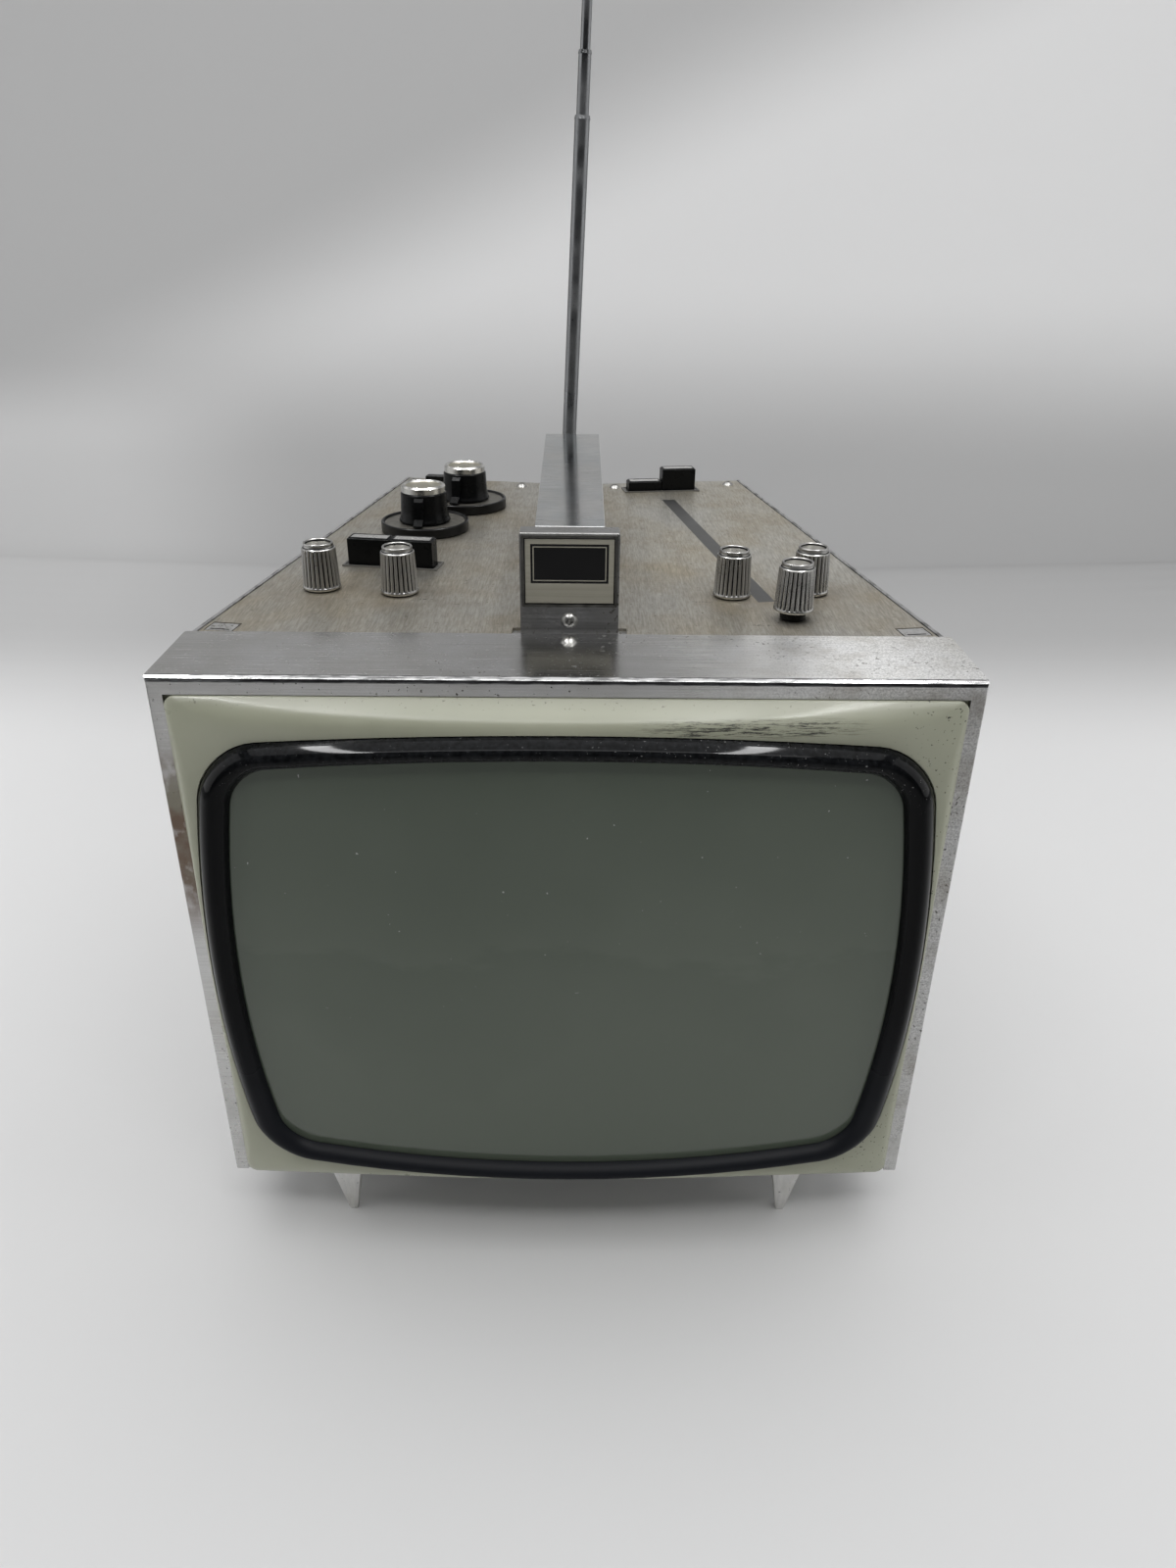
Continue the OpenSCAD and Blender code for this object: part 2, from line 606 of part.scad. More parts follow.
module control_panel() color([0.68, 0.66, 0.62]) set_on_feet() difference() {
    translate([0, 0, panel_under]) linear_extrude(panel_t)
        polygon(plan(shell_t + fit_gap, band_d + fit_gap, 0));
    // notches at the front corners and beside the handle's front post
    for (side = [-1, 1]) on_half(side, 0, 0, panel_under - 1)
        translate([side > 0 ? -notch_w - 3 : 3, 3.4, 0]) cube([notch_w, notch_d, panel_t + 2]);
    translate([-post_w / 2 - post_notch, band_d - 1, panel_under - 1])
        cube([post_w + 2 * post_notch, post_y - band_d + 5, panel_t + 2]);
    translate([-post_w / 2 - fit_gap, post_y - fit_gap, panel_under - 1])
        cube([post_w + 2 * fit_gap, post_d + 2 * fit_gap, panel_t + 2]);
    translate([0, 0, panel_under - 1]) rear_column(fit_gap, panel_t + 2);
    pot_holes(bush_d + 0.2, panel_under - 1, panel_t + 2);
    at_panel_screws(panel_under - 1) cylinder(d = screw_d + 0.4, h = panel_t + 2);
    at_tuner_a(panel_under - 1) cylinder(r = sleeve_r + fit_gap, h = panel_t + 2);
    at_tuner_b(panel_under - 1) cylinder(r = sleeve_r + fit_gap, h = panel_t + 2);
    for (pair = [0, 1]) at_pair(pair, panel_under - 1)
        translate([-fit_gap, -fit_gap, 0]) cube([pair_w + 2 * fit_gap, key_d + 2 * fit_gap, panel_t + 2]);
    at_slider(panel_under - 1)
        translate([-slider_stem_w / 2 - slider_travel - 0.5, -1.8, 0])
            cube([slider_stem_w + 2 * slider_travel + 1, 3.6, panel_t + 2]);
}

module at_pair(pair, z) {
    if (pair == 0) at_front_keys(z) children();
    if (pair == 1) at_rear_keys(z) children();
}

// Screws with domed heads: four in the panel, one in the band, one in the front post
module dome_screws() color("gainsboro") set_on_feet() {
    at_panel_screws(panel_top) dome_screw(6);
    translate([0, band_d - screw_from_rear, band_h]) dome_screw(5);
    translate([0, post_y, panel_top + 4.6]) rotate([90, 0, 0]) dome_screw(5);
}

module feet() color("silver") set_on_feet() {
    for (side = [-1, 1]) {
        translate([side * foot_pitch / 2, foot_y, 0]) foot();
        translate([side * rear_foot_pitch / 2, kink_y + body_len - 34, 0]) foot();
    }
}
// A foot tapers on all four sides from its flat top to its sole.
module foot() mirror([0, 0, 1]) linear_extrude(foot_h, scale = foot_sole / foot_top)
    square(foot_top, center = true);

// ---------- Handle ----------

rear_post_y = post_y + post_d + bar_len - rear_post_d;
bar_top = panel_top + post_h;
bar_rise = bar_len * tan(bar_slope);
aerial_shelf = 17;       // depth of the rear post's shelf behind the bar
shelf_z = bar_top + bar_rise - 25;
pivot_z = bar_top + bar_rise - 13;
pivot_y = rear_post_y + rear_post_d + 9;
pivot_x = -2.2;         // the stud stands a little to the left of the middle
stud_d = 8;

module front_post() color("silver") set_on_feet() difference() {
    translate([-post_w / 2, post_y, rail_top]) {
        cube([post_w, post_d, bar_top - rail_top - 0.8]);
        translate([0.8, 0.8, 0]) cube([post_w - 1.6, post_d - 1.6, bar_top - rail_top]);
        for (x = [0.8, post_w - 0.8], y = [0.8, post_d - 0.8]) translate([x, y, bar_top - rail_top - 0.8])
            sphere(0.8, $fn = 24);
        for (y = [0.8, post_d - 0.8]) translate([0.8, y, bar_top - rail_top - 0.8])
            rotate([0, 90, 0]) cylinder(r = 0.8, h = post_w - 1.6);
        for (x = [0.8, post_w - 0.8]) translate([x, 0.8, bar_top - rail_top - 0.8])
            rotate([-90, 0, 0]) cylinder(r = 0.8, h = post_d - 1.6);
    }
    translate([0, post_y - 1, panel_top + 4.6]) rotate([-90, 0, 0])
        cylinder(d = screw_d + 2 * run_gap, h = 7);
}

module handle_bar() color("silver") set_on_feet()
    translate([0, post_y + post_d, bar_top]) difference() {
        // a channel with rounded shoulders, open below, that rises to the rear
        rotate([90, 0, 90]) translate([0, 0, -bar_w / 2]) linear_extrude(bar_w)
            polygon([[0, -bar_t], [bar_len, bar_rise - bar_t], [bar_len, bar_rise], [0, 0]]);
        rotate([90, 0, 90]) translate([0, 0, -bar_w / 2 + 2.5]) linear_extrude(bar_w - 5)
            polygon([[8, -bar_t - 1], [bar_len - rear_post_d - 6, bar_rise - bar_t - 1],
                [bar_len - rear_post_d - 6, bar_rise * 0.9 - 2.5], [8, -2.4]]);
    }

// Plan of the rear column with its round end, grown by d
module rear_column(d, h) {
    round_y = rear_post_y + rear_post_d + aerial_shelf - bar_w / 2;
    translate([-bar_w / 2 - d, rear_post_y - d, 0]) cube([bar_w + 2 * d, round_y - rear_post_y + d, h]);
    translate([0, round_y, 0]) cylinder(r = bar_w / 2 + d, h = h, $fn = 96);
}

module rear_post() color("silver") set_on_feet() difference() {
    union() {
        // column up to the sloping underside of the bar
        translate([-bar_w / 2, rear_post_y, 0]) rotate([90, 0, 90]) linear_extrude(bar_w)
            polygon([[0, panel_under], [rear_post_d, panel_under],
                [rear_post_d, bar_top + bar_rise - bar_t],
                [0, bar_top + bar_rise - bar_t - rear_post_d * tan(bar_slope)]]);
        // shelf behind it that holds the aerial's stud
        translate([0, 0, panel_under - eps]) rear_column(0, shelf_z - panel_under + eps);
        // foot flange under the panel
        translate([-bar_w / 2 - 5, rear_post_y - 5, panel_under - 3])
            cube([bar_w + 10, rear_post_d + aerial_shelf + 10, 3]);
    }
    translate([pivot_x, pivot_y, shelf_z - 12.3]) cylinder(d = stud_d + 2 * run_gap, h = 13);
}

badge_z = panel_top + 10.4;
badge_h = bar_top - 0.7 - badge_z;
badge_w = post_w - 1.4;

module badge_frame() color("gainsboro") set_on_feet()
    translate([0, post_y, badge_z]) rotate([90, 0, 0]) linear_extrude(badge_t) difference() {
        translate([-badge_w / 2, 0]) rounded_square(badge_w, badge_h, 0.8);
        translate([1 - badge_w / 2, 1]) square([badge_w - 2, badge_h - 2]);
    }
module badge_plate() color([0.72, 0.69, 0.6]) set_on_feet()
    translate([0, post_y, badge_z]) rotate([90, 0, 0]) linear_extrude(badge_t - 0.5)
        translate([1.1 - badge_w / 2, 1.1]) square([badge_w - 2.2, badge_h - 2.2]);

// ---------- Aerial ----------

base_d = 13.4;
tongue_t = 5;
tube_foot = 9;           // solid part of the lowest tube above the pivot
aerial_l2 = aerial_len - 15;
aerial_l3 = aerial_l2 - 7;
aerial_l4 = aerial_l3 - 7;
top_1 = aerial_len;
top_2 = top_1 + aerial_out_2;
top_3 = top_2 + aerial_out_3;
top_4 = top_3 + aerial_out_4;

module on_aerial() set_on_feet() translate([pivot_x, pivot_y, pivot_z]) rotate([0, aerial_lean, 0])
    children();

ear_r = 5;               // the ears end in a round about the pin, short of the lowest tube
module aerial_base() color("silver") set_on_feet() translate([pivot_x, pivot_y, 0]) difference() {
    union() {
        translate([0, 0, shelf_z - 12]) cylinder(d = stud_d, h = 12.2);
        intersection() {
            translate([0, 0, shelf_z + 0.1]) cylinder(d = base_d, h = pivot_z + ear_r - shelf_z);
            union() {
                translate([-base_d / 2, -base_d / 2, shelf_z])
                    cube([base_d, base_d, pivot_z - 4.6 - shelf_z]);
                translate([-ear_r, -base_d / 2, pivot_z - 5]) cube([2 * ear_r, base_d, 5]);
                translate([0, -base_d / 2, pivot_z]) rotate([-90, 0, 0])
                    cylinder(r = ear_r, h = base_d);
            }
        }
    }
    // slot for the tongue, open above and to both sides
    translate([-8, -tongue_t / 2 - 0.1, pivot_z - 5.5]) cube([16, tongue_t + 0.2, 12]);
    translate([0, -9, pivot_z]) rotate([-90, 0, 0]) cylinder(d = 3 + 2 * run_gap, h = 18);
}
module aerial_pin() color("gray") set_on_feet()
    translate([pivot_x, pivot_y - 6.2, pivot_z]) rotate([-90, 0, 0]) cylinder(d = 3, h = 12.4);

// One hollow tube with a rolled collar, from z0 to z1 above the pivot
module tube(d, bore, z0, z1, floor_t) difference() {
    union() {
        translate([0, 0, z0]) cylinder(d = d, h = z1 - z0 - 1.6);
        translate([0, 0, z1 - 1.6]) cylinder(d1 = d + 0.5, d2 = d - 0.2, h = 1.6);
    }
    translate([0, 0, z0 + floor_t]) cylinder(d = bore, h = z1 - z0);
}
module aerial_tube_1() color("gainsboro") on_aerial() difference() {
    union() {
        tube(aerial_d, aerial_d - aerial_step + 2 * run_gap, 6, top_1, tube_foot - 6);
        intersection() {
            translate([-3.5, -tongue_t / 2, 0]) cube([7, tongue_t, 9]);
            translate([0, 0, 3]) cylinder(d = aerial_d, h = 12, center = true);
        }
        rotate([90, 0, 0]) cylinder(d = 7, h = tongue_t, center = true);
    }
    rotate([90, 0, 0]) cylinder(d = 3 + 2 * run_gap, h = 10, center = true);
}
module aerial_tube_2() color("gainsboro") on_aerial()
    tube(aerial_d - aerial_step, aerial_d - 2 * aerial_step + 2 * run_gap, top_2 - aerial_l2, top_2, 3);
module aerial_tube_3() color("gainsboro") on_aerial()
    tube(aerial_d - 2 * aerial_step, aerial_d - 3 * aerial_step + 2 * run_gap, top_3 - aerial_l3, top_3, 3);
module aerial_rod() color("gainsboro") on_aerial()
    translate([0, 0, top_4 - aerial_l4]) cylinder(d = aerial_d - 3 * aerial_step, h = aerial_l4);
module aerial_tip() color("silver") on_aerial() translate([0, 0, top_4]) rotate_extrude() polygon([
    [0, 0], [aerial_d / 2 - 0.4, 0], [aerial_d / 2 + 0.4, 0.8], [aerial_d / 2 + 0.4, 4.6],
    [aerial_d / 2 - 0.8, 6], [0, 6.6]]);

// ---------- Small knobs ----------

bush_d = 7;
bush_h = 3;
knob_scale = knob_top_d / knob_d;

// Outline of a fluted knob: wide flats with narrow grooves between them
function flute_pts(r) = [for (i = [0:flutes - 1], k = [0:3]) let (
    a = 360 / flutes * (i + [0.04, 0.62, 0.72, 0.94][k]), rr = k < 2 ? r : r - flute_depth)
    [rr * cos(a), rr * sin(a)]];

module small_knob(lift) {
    foot_z = knob_gap + lift;
    rim_h = 2.4;
    body_h = knob_h - knob_gap - rim_h;
    top_r = knob_top_d / 2;
    difference() {
        union() {
            translate([0, 0, foot_z]) cylinder(d = knob_d + 0.5, h = 1.4);
            translate([0, 0, foot_z]) linear_extrude(body_h, scale = knob_scale)
                polygon(flute_pts(knob_d / 2));
            // smooth rim that slopes in to the dished top
            translate([0, 0, foot_z + body_h]) cylinder(r1 = top_r + 0.1, r2 = top_r - 1.1, h = rim_h);
        }
        translate([0, 0, foot_z + body_h + rim_h - 0.7]) cylinder(r = top_r - 1.9, h = 2);
        // room for the potentiometer's bush
        translate([0, 0, -1]) cylinder(d = bush_d + 2, h = bush_h + lift + 2.2);
    }
    translate([0, 0, -panel_t - 5]) cylinder(d = shaft_d, h = foot_z + panel_t + 12);
    // collar under a knob that stands higher
    if (lift > 0) difference() {
        translate([0, 0, knob_gap]) cylinder(d = bush_d + 3.6, h = lift + eps);
        translate([0, 0, -1]) cylinder(d = bush_d + 0.6, h = lift + 4);
    }
}

module volume_knob() color("silver") set_on_feet() at_knob(0) small_knob(knob_places[0][3]);
module tone_knob() color("silver") set_on_feet() at_knob(1) small_knob(knob_places[1][3]);
module contrast_knob() color("silver") set_on_feet() at_knob(2) small_knob(knob_places[2][3]);
module brightness_knob() color("silver") set_on_feet() at_knob(3) small_knob(knob_places[3][3]);
module hold_knob() color("silver") set_on_feet() at_knob(4) small_knob(knob_places[4][3]);

module potentiometers() color("tan") set_on_feet() for (i = [0:4]) at_knob(i) difference() {
    union() {
        translate([0, 0, -panel_t - 9]) cylinder(d = pot_d, h = 9);
        translate([0, 0, -panel_t - 1]) cylinder(d = bush_d, h = panel_t + 1 + bush_h);
    }
    translate([0, 0, -panel_t - 5.3]) cylinder(d = shaft_d + 2 * run_gap, h = 30);
}

// ---------- Tuners ----------

spindle_d = 6;
sleeve_r = 4.4;
skirt_z = ring_h - 0.5;

// Fine tuning ring with the sleeve that carries it on the spindle
module tuner_ring() rotate_extrude($fn = 96) polygon([
    [sleeve_r, fit_gap], [ring_d / 2 - 0.5, fit_gap], [ring_d / 2, fit_gap + 0.6],
    [ring_d / 2, ring_h - 0.4], [ring_d / 2 - 0.4, ring_h], [ring_d / 2 - 1.2, ring_h],
    [ring_d / 2 - 1.8, ring_h - 1.1], [spindle_d / 2 + run_gap, ring_h - 1.1],
    [spindle_d / 2 + run_gap, fit_gap - panel_t - 3], [sleeve_r, fit_gap - panel_t - 3]]);

module tuner_knob(turned) {
    cap_z = tuner_top - 3.6;
    rotate_extrude($fn = 72) polygon([
        [0, skirt_z], [tuner_skirt_d / 2 - 0.4, skirt_z], [tuner_skirt_d / 2, skirt_z + 0.4],
        [tuner_skirt_d / 2, skirt_z + 0.9], [tuner_d / 2 + 0.9, skirt_z + 2.2],
        [tuner_d / 2 + 0.4, skirt_z + 5], [tuner_d / 2, cap_z - 0.6], [tuner_d / 2 - 0.6, cap_z],
        [0, cap_z]]);
    // pointer rib, widest on the ring
    rotate(taper - 90 - turned) translate([0, 2.3, 0]) rotate([90, 0, 0])
        linear_extrude(4.6) polygon([[2, skirt_z], [tuner_skirt_d / 2 + 4.6, skirt_z],
            [tuner_skirt_d / 2 + 4.6, skirt_z + 0.9], [tuner_d / 2 + 2.4, skirt_z + 3.4],
            [tuner_d / 2 + 1.7, cap_z - 3], [tuner_d / 2 - 0.6, cap_z - 1], [2, cap_z - 1]]);
    translate([0, 0, -panel_t - 14]) cylinder(d = spindle_d, h = panel_t + 14 + skirt_z + 1);
}

module tuner_cap() {
    z = tuner_top - 3.6 + 0.02;
    rotate_extrude($fn = 72) polygon([
        [0, z], [cap_d / 2, z], [cap_d / 2, z + 2.6], [cap_d / 2 - 0.7, z + 3.5],
        [cap_d / 2 - 1.5, z + 3.5], [cap_d / 2 - 2.2, z + 2.6], [0, z + 1.5]]);
}

module channel_ring() color([0.1, 0.1, 0.1]) set_on_feet() at_tuner_a(panel_top) tuner_ring();
module channel_knob() color("black") set_on_feet() at_tuner_a(panel_top) tuner_knob(pointer_a);
module channel_cap() color("silver") set_on_feet() at_tuner_a(panel_top) tuner_cap();
module uhf_ring() color([0.1, 0.1, 0.1]) set_on_feet() at_tuner_b(panel_top) tuner_ring();
module uhf_knob() color("black") set_on_feet() at_tuner_b(panel_top) tuner_knob(pointer_b);
module uhf_cap() color("silver") set_on_feet() at_tuner_b(panel_top) tuner_cap();

// Screened boxes under the panel with the bearing of each spindle
module tuner_unit() difference() {
    union() {
        translate([-21, -21, -panel_t - 48]) cube([42, 42, 43]);
        translate([0, 0, -panel_t - 5.1]) cylinder(d = 14, h = 1.6);
        // pillars that hang the box from the panel
        for (x = [-16, 16], y = [-16, 16]) translate([x, y, -panel_t - 5.1]) cylinder(d = 6, h = 5.1);
    }
    translate([0, 0, -panel_t - 15]) cylinder(d = spindle_d + 2 * run_gap, h = 20);
}
module tuner_units() color("gainsboro") set_on_feet() {
    at_tuner_a(panel_top) tuner_unit();
    at_tuner_b(panel_top) tuner_unit();
}

// ---------- Push keys ----------

stem_w = 6;
stem_d = 4;
key_skirt = 3.6;         // depth of the key below the panel's top when raised
inlay_t = 0.6;
inlay_margin = 1.4;
switch_gap = 1.2;

// pair 0 is the front one; slot 0 is its left key
module at_key(pair, slot) at_pair(pair, panel_top) translate([slot * (key_w + fit_gap), 0, 0])
    children();
module key_body(pressed) translate([0, 0, pressed ? -key_travel : 0]) difference() {
    union() {
        translate([0, 0, -key_skirt]) cube([key_w, key_d, key_h + key_skirt - 0.6]);
        translate([0.6, 0.6, key_h - 0.7]) cube([key_w - 1.2, key_d - 1.2, 0.7]);
        translate([key_w / 2 - stem_w / 2, key_d / 2 - stem_d / 2, -key_skirt - 14])
            cube([stem_w, stem_d, 14 + eps]);
    }
    translate([inlay_margin, inlay_margin, key_h - inlay_t])
        cube([key_w - 2 * inlay_margin, key_d - 2 * inlay_margin, 1]);
}
module key_inlay(pressed) {
    edge = inlay_margin + 0.05;
    translate([edge, edge, key_h - inlay_t - (pressed ? key_travel : 0)])
        cube([key_w - 2 * edge, key_d - 2 * edge, inlay_t - 0.15]);
}

module front_key_left() color([0.05, 0.05, 0.05]) set_on_feet() at_key(0, 0) key_body(false);
module front_key_right() color([0.05, 0.05, 0.05]) set_on_feet() at_key(0, 1) key_body(false);
module rear_key_left() color([0.05, 0.05, 0.05]) set_on_feet() at_key(1, 0) key_body(true);
module rear_key_right() color([0.05, 0.05, 0.05]) set_on_feet() at_key(1, 1) key_body(false);
module front_key_left_inlay() color("silver") set_on_feet() at_key(0, 0) key_inlay(false);
module front_key_right_inlay() color("silver") set_on_feet() at_key(0, 1) key_inlay(false);
module rear_key_left_inlay() color("silver") set_on_feet() at_key(1, 0) key_inlay(true);
module rear_key_right_inlay() color("silver") set_on_feet() at_key(1, 1) key_inlay(false);

// Thin frames on the panel around each pair
module key_frames() color("dimgray") set_on_feet() for (pair = [0, 1]) at_pair(pair, panel_top)
    difference() {
        translate([-frame_border, -frame_border, 0])
            cube([pair_w + 2 * frame_border, key_d + 2 * frame_border, 0.8]);
        translate([-fit_gap, -fit_gap, -1]) cube([pair_w + 2 * fit_gap, key_d + 2 * fit_gap, 3]);
        translate([1 - frame_border, 1 - frame_border, 0.4])
            cube([pair_w + 2 * frame_border - 2, key_d + 2 * frame_border - 2, 1]);
    }

// Switch banks under the keys, with a shaft for each stem
module key_switches() color("burlywood") set_on_feet() for (pair = [0, 1])
    at_pair(pair, panel_top) difference() {
        depth = key_skirt + key_travel + switch_gap;
        union() {
            translate([1, 0.5, -depth - 16]) cube([pair_w - 2, key_d - 1, 16]);
            // cheeks that hang the bank from the panel
            for (x = [-2.2, pair_w + 0.6]) translate([x, 1.5, -depth - 16])
                cube([1.6, key_d - 3, depth + 16 - panel_t]);
            translate([-2.2, 1.5, -depth - 16]) cube([pair_w + 4.4, key_d - 3, 2]);
        }
        for (slot = [0, 1]) translate([slot * (key_w + fit_gap) + key_w / 2 - stem_w / 2 - 0.15,
            key_d / 2 - stem_d / 2 - 0.15, -depth - 13]) cube([stem_w + 0.3, stem_d + 0.3, 20]);
    }

// ---------- Range switch ----------

slider_stem_w = 5;
module range_slider() color([0.16, 0.16, 0.16]) set_on_feet() at_slider(panel_top) {
    translate([-slider_w / 2, -slider_d / 2, 0.3]) cube([slider_w, slider_d, slider_h - 0.3]);
    translate([-slider_stem_w / 2, -1.5, -panel_t - 3]) cube([slider_stem_w, 3, panel_t + 3.5]);
}
module range_switch() color("burlywood") set_on_feet() at_slider(panel_under) difference() {
    translate([-9, -4, -9]) cube([20, 8, 9]);
    translate([-slider_stem_w / 2 - slider_travel - 0.5, -1.8, -4])
        cube([slider_stem_w + 2 * slider_travel + 1, 3.6, 6]);
}

// ---------- Back ----------

cover_top = panel_under - fit_gap;
cover_step = 3;
lip_in = 8;              // the cover's lip reaches this far into the shell
tab_in = lip_in + fit_gap;
lug_d = 16;              // lugs under the panel's rear screws
rear_screw_inset = 10;
rear_screw_z = [16, cover_top - 22];
inlet_inset = 58;
inlet_z = 34;
sockets_inset = 56;
sockets_z = 60;

// Children stand on the cover's rear face, with X along it and Y out of it.
module on_rear(side, inset, z) on_half(side, side_len + cover_depth, inset, z) children();
module at_back_screws() for (side = [-1, 1], z = rear_screw_z)
    on_rear(side, rear_screw_inset, z) rotate([-90, 0, 0]) children();

module back_cover() color([0.22, 0.22, 0.22]) set_on_feet() difference() {
    union() {
        difference() {
            union() {
                // rim against the shell, then the dished body
                rear_slab(0, fit_gap, cover_t, 0, cover_top);
                rear_slab(cover_step, fit_gap, cover_depth, 5, cover_top - 5);
            }
            rear_slab(cover_step + cover_t, -1, cover_depth - cover_t, 5 + cover_t, cover_top - 5 - cover_t);
        }
        // lip inside the shell
        difference() {
            rear_slab(shell_t + fit_gap, -lip_in, fit_gap + eps, shell_t + fit_gap, cover_top);
            rear_slab(cover_step + cover_t, -lip_in - 1, 1, 5 + cover_t, cover_top + 1);
        }
        // lugs that take the panel's screws
        at_panel_screws(cover_top - 6) translate([-4.5, screw_from_edge - lug_d, 0])
            cube([9, lug_d + 1, 6]);
        // tubes for the cover's own screws
        at_back_screws() translate([0, 0, -cover_depth - lip_in])
            cylinder(d = 9.6, h = cover_depth + lip_in - 1);
    }
    at_panel_screws(cover_top - 7) cylinder(d = screw_d + 2 * run_gap, h = 10);
    at_back_screws() {
        translate([0, 0, -cover_depth - lip_in - 1]) cylinder(d = screw_d + 2 * run_gap, h = 40);
        translate([0, 0, -4]) cylinder(d = head_d + 0.8, h = 5);
    }
    // cooling slots
    for (side = [-1, 1], i = [0:cover_slots - 1], column = [0, 1])
        on_rear(side, 32 + 38 * column, 92 + i * 8)
            translate([-15, -cover_t - 1, 0]) cube([30, cover_t + 2, slot_w]);
    // windows for the mains inlet and the aerial sockets
    on_rear(-1, inlet_inset, inlet_z) translate([-14.2, -cover_t - 1, -9.2])
        cube([28.4, cover_t + 2, 18.4]);
    on_rear(1, sockets_inset, sockets_z) translate([-22.2, -cover_t - 1, -8.2])
        cube([44.4, cover_t + 2, 16.4]);
}

// A slab that follows the V of the rear edge, inset from the sides, between two depths
module rear_slab(inset, y0, y1, z0, z1) translate([0, 0, z0]) linear_extrude(z1 - z0)
    polygon(concat([side_pt(side_len + y0, inset), side_pt(side_len + y1, inset)],
        [[0, middle_y(side_len + y1)]],
        mirrored([side_pt(side_len + y0, inset), side_pt(side_len + y1, inset)]),
        [[0, middle_y(side_len + y0)]]));

module back_screws() color("silver") set_on_feet() at_back_screws() translate([0, 0, -4])
    dome_screw(cover_depth + tab_in + shell_t - 2);

module mains_inlet() color("black") set_on_feet() on_rear(-1, inlet_inset, inlet_z) {
    difference() {
        union() {
            translate([-14, -cover_t - 14, -9]) cube([28, cover_t + 14, 18]);
            translate([-16, -cover_t - 2, -11]) cube([32, 2, 22]);
        }
        translate([-11, -cover_t - 11, -6]) cube([22, cover_t + 12, 12]);
    }
    for (x = [-6.6, 6.6]) translate([x, -cover_t - 12, 0]) rotate([-90, 0, 0]) cylinder(d = 3.2, h = 11);
}

socket_r = 2;
socket_pitch = [12, 19];
module aerial_sockets() color([0.12, 0.12, 0.12]) set_on_feet()
    on_rear(1, sockets_inset, sockets_z) difference() {
        union() {
            translate([-22, -cover_t - 10, -8]) cube([44, cover_t + 10, 16]);
            translate([-24, -cover_t - 2, -10]) cube([48, 2, 20]);
        }
        for (group = [-1, 1], x = [-1, 1])
            translate([group * socket_pitch.y / 2 + x * socket_pitch.x / 2 * 0.8, 1, 0])
                rotate([90, 0, 0]) cylinder(r = socket_r, h = 11);
    }

// ---------- Inside ----------

speaker_along = 66;
speaker_z = 62;
speaker_d = 70;

power_from_rear = 74;    // transformers in front of the cabinet's rear corners
power_y = kink_y + body_len - power_from_rear;
board_w = 150;
board_d = 130;
board_t = 1.6;
board_lift = 8;
board_y = power_y - 32 - board_d;    // front edge, so that the rear edge clears the transformers
board_z = shell_t + board_lift;
part_z = board_z + board_t - eps;

module main_board() color("peru") set_on_feet() {
    translate([-board_w / 2, board_y, board_z]) cube([board_w, board_d, board_t]);
    for (x = [-68, 68], y = [7, board_d - 7]) translate([x, board_y + y, shell_t])
        cylinder(d = 7, h = board_lift + eps);
    // smoothing capacitors, a screened coil and a heat sink
    for (i = [0:3]) translate([-55 + 34 * i, board_y + board_d - 30, part_z])
        cylinder(d = 16, h = 26);
    translate([-40, board_y + 25, part_z]) cube([26, 26, 20]);
    translate([20, board_y + 20, part_z]) cube([40, 6, 24]);
}

module speaker() color([0.2, 0.2, 0.2]) set_on_feet() on_half(1, speaker_along, shell_t, speaker_z)
    rotate([0, -90, 0]) rotate_extrude($fn = 72) polygon([
        [0, 3], [10, 3], [speaker_d / 2 - 6, 0.4], [speaker_d / 2, 0], [speaker_d / 2, 2],
        [speaker_d / 2 - 5, 3.5], [19, 18], [16, 18], [16, 29], [0, 29]]);

module mains_transformer() color("dimgray") set_on_feet() translate([-62, power_y, shell_t]) {
    translate([-24, -14, 0]) cube([48, 28, 44]);
    translate([-14, -20, 6]) cube([28, 40, 32]);
    translate([-30, -14, 0]) cube([60, 28, 1.5]);
}

module line_transformer() color([0.3, 0.3, 0.3]) set_on_feet() translate([60, power_y, shell_t]) {
    translate([-16, -16, 0]) cube([32, 32, 30]);
    translate([0, 0, 30 - eps]) cylinder(d = 30, h = 26);
    translate([-5, -22, 8]) cube([10, 44, 10]);
}

front_trim();
front_bezel();
screen_mask();
screen_glass();
tube_funnel();
tube_neck();
tube_band();
tube_screws();
deflection_yoke();
tube_socket();
cabinet_shell();
top_rail();
control_panel();
dome_screws();
feet();
front_post();
handle_bar();
rear_post();
badge_frame();
badge_plate();
aerial_base();
aerial_pin();
aerial_tube_1();
aerial_tube_2();
aerial_tube_3();
aerial_rod();
aerial_tip();
volume_knob();
tone_knob();
contrast_knob();
brightness_knob();
hold_knob();
potentiometers();
channel_knob();
channel_cap();
channel_ring();
uhf_knob();
uhf_cap();
uhf_ring();
tuner_units();
front_key_left();
front_key_right();
rear_key_left();
rear_key_right();
front_key_left_inlay();
front_key_right_inlay();
rear_key_left_inlay();
rear_key_right_inlay();
key_frames();
key_switches();
range_slider();
range_switch();
back_cover();
back_screws();
mains_inlet();
aerial_sockets();
main_board();
speaker();
mains_transformer();
line_transformer();
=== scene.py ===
# %% [markdown]
# # A portable television, dressed for its portrait
# The solids of the television come from its CAD model. This lesson gives them their
# finishes: brushed and pitted aluminium, cream moulding, a gloss black mask, tube
# glass, chrome knobs and black keys. Where a CAD mesh would show its facets, a
# cleaned copy with smooth shading and small bevels stands in for it, and the small
# knobs get whole new skins with finer grooves.

import json
from math import atan2, pi, radians

